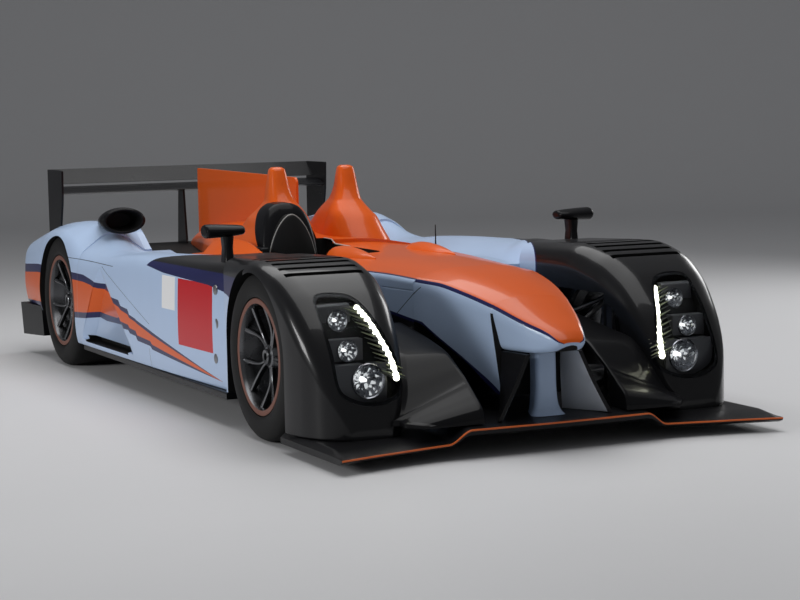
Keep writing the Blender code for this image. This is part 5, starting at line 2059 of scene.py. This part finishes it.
def make_scoop():
    """The oval snorkel on the right rear fender."""
    # Scoop: y, z, half_x, half_z
    shape = (
        (1.060, SCOOP_Z, 0.104, 0.060),
        (1.070, SCOOP_Z, 0.118, 0.068),
        (1.100, SCOOP_Z, 0.122, 0.070),
        (1.160, SCOOP_Z, 0.110, 0.062),
        (1.280, 0.789, 0.080, 0.040),
        (1.400, 0.779, 0.030, 0.018),
    )
    rings = []
    for y in between(shape, 5):
        z, half_x, half_z = through(shape, y)
        rings.append(oval((SCOOP_X, y, z), half_x, half_z, 40))
    piece = loft("scoop_skin", rings, [black_paint()])
    # Mouth: y, share of the front's half widths
    rings = []
    for y, share in ((1.000, 0.86), (1.080, 0.82), (1.180, 0.60)):
        rings.append(oval((SCOOP_X, y, SCOOP_Z), 0.118 * share, 0.066 * share, 40))
    carve(piece, loft("mouth", rings, [dull_carbon()]))
    soften(piece, 0.003, 3, 50)
    place(smooth(piece, 50), "carbon", "scoop")


def make_mirrors():
    """Mirrors on their stalks."""
    rings = []
    # Housing: x, half_y, half_z
    shape = (
        (0.790, 0.022, 0.010),
        (0.793, 0.036, 0.017),
        (0.800, 0.045, 0.021),
        (0.880, 0.055, 0.028),
        (0.962, 0.050, 0.031),
        (0.972, 0.044, 0.027),
        (0.976, 0.032, 0.018),
    )
    for x in between(shape, 4):
        half_y, half_z = through(shape, x)
        ring = [(MIRROR_Y + half_y * math.cos(a), MIRROR_Z + half_z * math.sin(a)) for a in around(32)]
        rings.append([Vector((x, y, z)) for y, z in ring])
    housing = loft("housing", rings, [black_paint()])
    stalk_rings = []
    # Stalk: z, wide, deep
    for z, wide, deep in (
        (0.690, 0.034, 0.054),
        (0.712, 0.025, 0.044),
        (0.770, 0.021, 0.038),
        (0.822, 0.027, 0.042),
    ):
        right = ((wide, -deep, wide, wide), (wide * 0.6, deep, 0.01, 0.01))
        outline = rounded(both_sides(right), 6)
        stalk_rings.append([Vector((STALK_X + x, STALK_Y + y, z)) for x, y in outline])
    carve(housing, loft("stalk", stalk_rings, [black_paint()]), "UNION")
    place_pair("mirror_skin", smooth(housing, 50), "carbon", "mirror")


def make_antenna():
    """The short mast on the cowl, on a round foot."""
    x, y, top = ANTENNA
    foot = crown_at(y) - 0.030
    mast = bar("mast", (x, y, foot), (x, y, top), forms().strut, black_paint(), 12, 0.0022)
    base = bar("base", (x, y, foot), (x, y, crown_at(y) - 0.002), 0.014, black_paint(), 24, 0.011)
    place(smooth(join("antenna", [mast, base])), "body_carbon")


def make_tail_lights():
    """Upright red lights on the tail ends of the rear fenders."""
    lens = plain_look("tail_lens", (0.30, 0.010, 0.008), 0.20, grain=60.0, contrast=0.08, bump=0.02, coat=0.5)
    low, high = TAIL_LIGHT
    piece = soften(box("tail_light", low, high, lens), 0.003, 3)
    place_pair("tail_light", smooth(piece), "lamp_glass")


def dress_solids():
    """Finishes for the solids that stay as they are."""
    looks = {
        "diffuser": carbon(),
        "rear_deck": dull_carbon(),
        "engine_block": cast_metal(),
        "gearbox": cast_metal(),
        "seat": trim(),
        "steering_wheel": trim(),
    }
    for stem, look in (("front_knuckle", cast_metal()), ("rear_suspension", steel())):
        for side, _ in SIDES:
            looks[f"{stem}_{side}"] = look
    for name, look in looks.items():
        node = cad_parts[name]
        node.data.materials.clear()
        node.data.materials.append(look)


# Operators, panel and registration


class RACE_CAR_OT_stage(bpy.types.Operator):
    """Makes the pale floor, the soft lamps and the camera."""

    bl_idname = "race_car.stage"
    bl_label = "Stage"
    bl_options = {"REGISTER", "UNDO"}

    def execute(self, context):
        make_stage()
        return {"FINISHED"}


class RACE_CAR_OT_front_fenders(bpy.types.Operator):
    """Makes the front fenders with their arches, lamp openings and louvres."""

    bl_idname = "race_car.front_fenders"
    bl_label = "Front Fenders"
    bl_options = {"REGISTER", "UNDO"}

    def execute(self, context):
        make_front_fenders()
        return {"FINISHED"}


class RACE_CAR_OT_headlamps(bpy.types.Operator):
    """Makes the lamp housings, reflectors, light strips and covers."""

    bl_idname = "race_car.headlamps"
    bl_label = "Headlamps"
    bl_options = {"REGISTER", "UNDO"}

    def execute(self, context):
        make_headlamps()
        return {"FINISHED"}


class RACE_CAR_OT_nose(bpy.types.Operator):
    """Makes the nose with its pillar and the two slanting vanes."""

    bl_idname = "race_car.nose"
    bl_label = "Nose"
    bl_options = {"REGISTER", "UNDO"}

    def execute(self, context):
        make_nose()
        return {"FINISHED"}


class RACE_CAR_OT_tunnel_roofs(bpy.types.Operator):
    """Makes the roofs over the two front air tunnels."""

    bl_idname = "race_car.tunnel_roofs"
    bl_label = "Tunnel Roofs"
    bl_options = {"REGISTER", "UNDO"}

    def execute(self, context):
        make_tunnel_roofs()
        return {"FINISHED"}


class RACE_CAR_OT_splitter(bpy.types.Operator):
    """Makes the splitter with its orange edge."""

    bl_idname = "race_car.splitter"
    bl_label = "Splitter"
    bl_options = {"REGISTER", "UNDO"}

    def execute(self, context):
        make_splitter()
        return {"FINISHED"}


class RACE_CAR_OT_floor(bpy.types.Operator):
    """Makes the plank and its raised shelves."""

    bl_idname = "race_car.floor"
    bl_label = "Floor"
    bl_options = {"REGISTER", "UNDO"}

    def execute(self, context):
        make_floor()
        return {"FINISHED"}


class RACE_CAR_OT_front_suspension(bpy.types.Operator):
    """Makes the wishbones on their rails, inside the front air tunnels."""

    bl_idname = "race_car.front_suspension"
    bl_label = "Front Suspension"
    bl_options = {"REGISTER", "UNDO"}

    def execute(self, context):
        make_front_suspension()
        return {"FINISHED"}


class RACE_CAR_OT_tub(bpy.types.Operator):
    """Makes the tub and the cowl with the cockpit opening."""

    bl_idname = "race_car.tub"
    bl_label = "Tub and Cowl"
    bl_options = {"REGISTER", "UNDO"}

    def execute(self, context):
        make_tub()
        return {"FINISHED"}


class RACE_CAR_OT_side_pods(bpy.types.Operator):
    """Makes the side pods with their painted sides and vents."""

    bl_idname = "race_car.side_pods"
    bl_label = "Side Pods"
    bl_options = {"REGISTER", "UNDO"}

    def execute(self, context):
        make_side_pods()
        return {"FINISHED"}


class RACE_CAR_OT_rear_fenders(bpy.types.Operator):
    """Makes the rear fenders with their wheel arches."""

    bl_idname = "race_car.rear_fenders"
    bl_label = "Rear Fenders"
    bl_options = {"REGISTER", "UNDO"}

    def execute(self, context):
        make_rear_fenders()
        return {"FINISHED"}


class RACE_CAR_OT_engine_cover(bpy.types.Operator):
    """Makes the engine cover with both roll humps, and the tail fin."""

    bl_idname = "race_car.engine_cover"
    bl_label = "Engine Cover"
    bl_options = {"REGISTER", "UNDO"}

    def execute(self, context):
        make_engine_cover()
        return {"FINISHED"}


class RACE_CAR_OT_wheels(bpy.types.Operator):
    """Makes the four tyres and rims with their brake discs."""

    bl_idname = "race_car.wheels"
    bl_label = "Wheels"
    bl_options = {"REGISTER", "UNDO"}

    def execute(self, context):
        make_wheels()
        return {"FINISHED"}


class RACE_CAR_OT_cockpit(bpy.types.Operator):
    """Makes the headrest, the lip of the cockpit opening, and the pale line painted as a highlight along its
    far rim.
    """

    bl_idname = "race_car.cockpit"
    bl_label = "Cockpit"
    bl_options = {"REGISTER", "UNDO"}

    def execute(self, context):
        make_cockpit()
        return {"FINISHED"}


class RACE_CAR_OT_wing(bpy.types.Operator):
    """Makes the rear wing, its endplates and its pylons."""

    bl_idname = "race_car.wing"
    bl_label = "Rear Wing"
    bl_options = {"REGISTER", "UNDO"}

    def execute(self, context):
        make_wing()
        return {"FINISHED"}


class RACE_CAR_OT_scoop(bpy.types.Operator):
    """Makes the oval snorkel on the right rear fender."""

    bl_idname = "race_car.scoop"
    bl_label = "Scoop"
    bl_options = {"REGISTER", "UNDO"}

    def execute(self, context):
        make_scoop()
        return {"FINISHED"}


class RACE_CAR_OT_mirrors(bpy.types.Operator):
    """Makes both mirrors on their stalks."""

    bl_idname = "race_car.mirrors"
    bl_label = "Mirrors"
    bl_options = {"REGISTER", "UNDO"}

    def execute(self, context):
        make_mirrors()
        return {"FINISHED"}


class RACE_CAR_OT_antenna(bpy.types.Operator):
    """Makes the short mast on the cowl."""

    bl_idname = "race_car.antenna"
    bl_label = "Antenna"
    bl_options = {"REGISTER", "UNDO"}

    def execute(self, context):
        make_antenna()
        return {"FINISHED"}


class RACE_CAR_OT_tail_lights(bpy.types.Operator):
    """Makes the red lights on the tail."""

    bl_idname = "race_car.tail_lights"
    bl_label = "Tail Lights"
    bl_options = {"REGISTER", "UNDO"}

    def execute(self, context):
        make_tail_lights()
        return {"FINISHED"}


class RACE_CAR_OT_solids(bpy.types.Operator):
    """Gives finishes to the solids that stay as they are."""

    bl_idname = "race_car.solids"
    bl_label = "Remaining Solids"
    bl_options = {"REGISTER", "UNDO"}

    def execute(self, context):
        dress_solids()
        return {"FINISHED"}


# The groups, in the order in which they are made
OPERATORS = (
    RACE_CAR_OT_stage,
    RACE_CAR_OT_front_fenders,
    RACE_CAR_OT_headlamps,
    RACE_CAR_OT_nose,
    RACE_CAR_OT_tunnel_roofs,
    RACE_CAR_OT_splitter,
    RACE_CAR_OT_floor,
    RACE_CAR_OT_front_suspension,
    RACE_CAR_OT_tub,
    RACE_CAR_OT_side_pods,
    RACE_CAR_OT_rear_fenders,
    RACE_CAR_OT_engine_cover,
    RACE_CAR_OT_wheels,
    RACE_CAR_OT_cockpit,
    RACE_CAR_OT_wing,
    RACE_CAR_OT_scoop,
    RACE_CAR_OT_mirrors,
    RACE_CAR_OT_antenna,
    RACE_CAR_OT_tail_lights,
    RACE_CAR_OT_solids,
)


class RACE_CAR_PT_panel(bpy.types.Panel):
    """Lists the car's pieces and its settings."""

    bl_idname = "RACE_CAR_PT_panel"
    bl_label = "Race Car"
    bl_space_type = "VIEW_3D"
    bl_region_type = "UI"
    bl_category = "Race Car"

    def draw(self, context):
        for one in OPERATORS:
            self.layout.operator(one.bl_idname)
        for group in (context.scene.race_car_colours, context.scene.race_car_forms):
            for name in group.bl_rna.properties.keys():
                if name not in ("rna_type", "name"):
                    self.layout.prop(group, name)


CLASSES = [CarColours, CarForms, *OPERATORS, RACE_CAR_PT_panel]


def register():
    """Registers the classes and the two property groups."""
    for one in CLASSES:
        bpy.utils.register_class(one)
    bpy.types.Scene.race_car_colours = bpy.props.PointerProperty(type=CarColours)
    bpy.types.Scene.race_car_forms = bpy.props.PointerProperty(type=CarForms)


def unregister():
    """Takes them away again."""
    del bpy.types.Scene.race_car_forms
    del bpy.types.Scene.race_car_colours
    for one in reversed(CLASSES):
        bpy.utils.unregister_class(one)


def main():
    register()
    for one in OPERATORS:
        step = one.__name__.split("_OT_")[1]
        getattr(bpy.ops.race_car, step)()


if __name__ == "__main__":
    main()
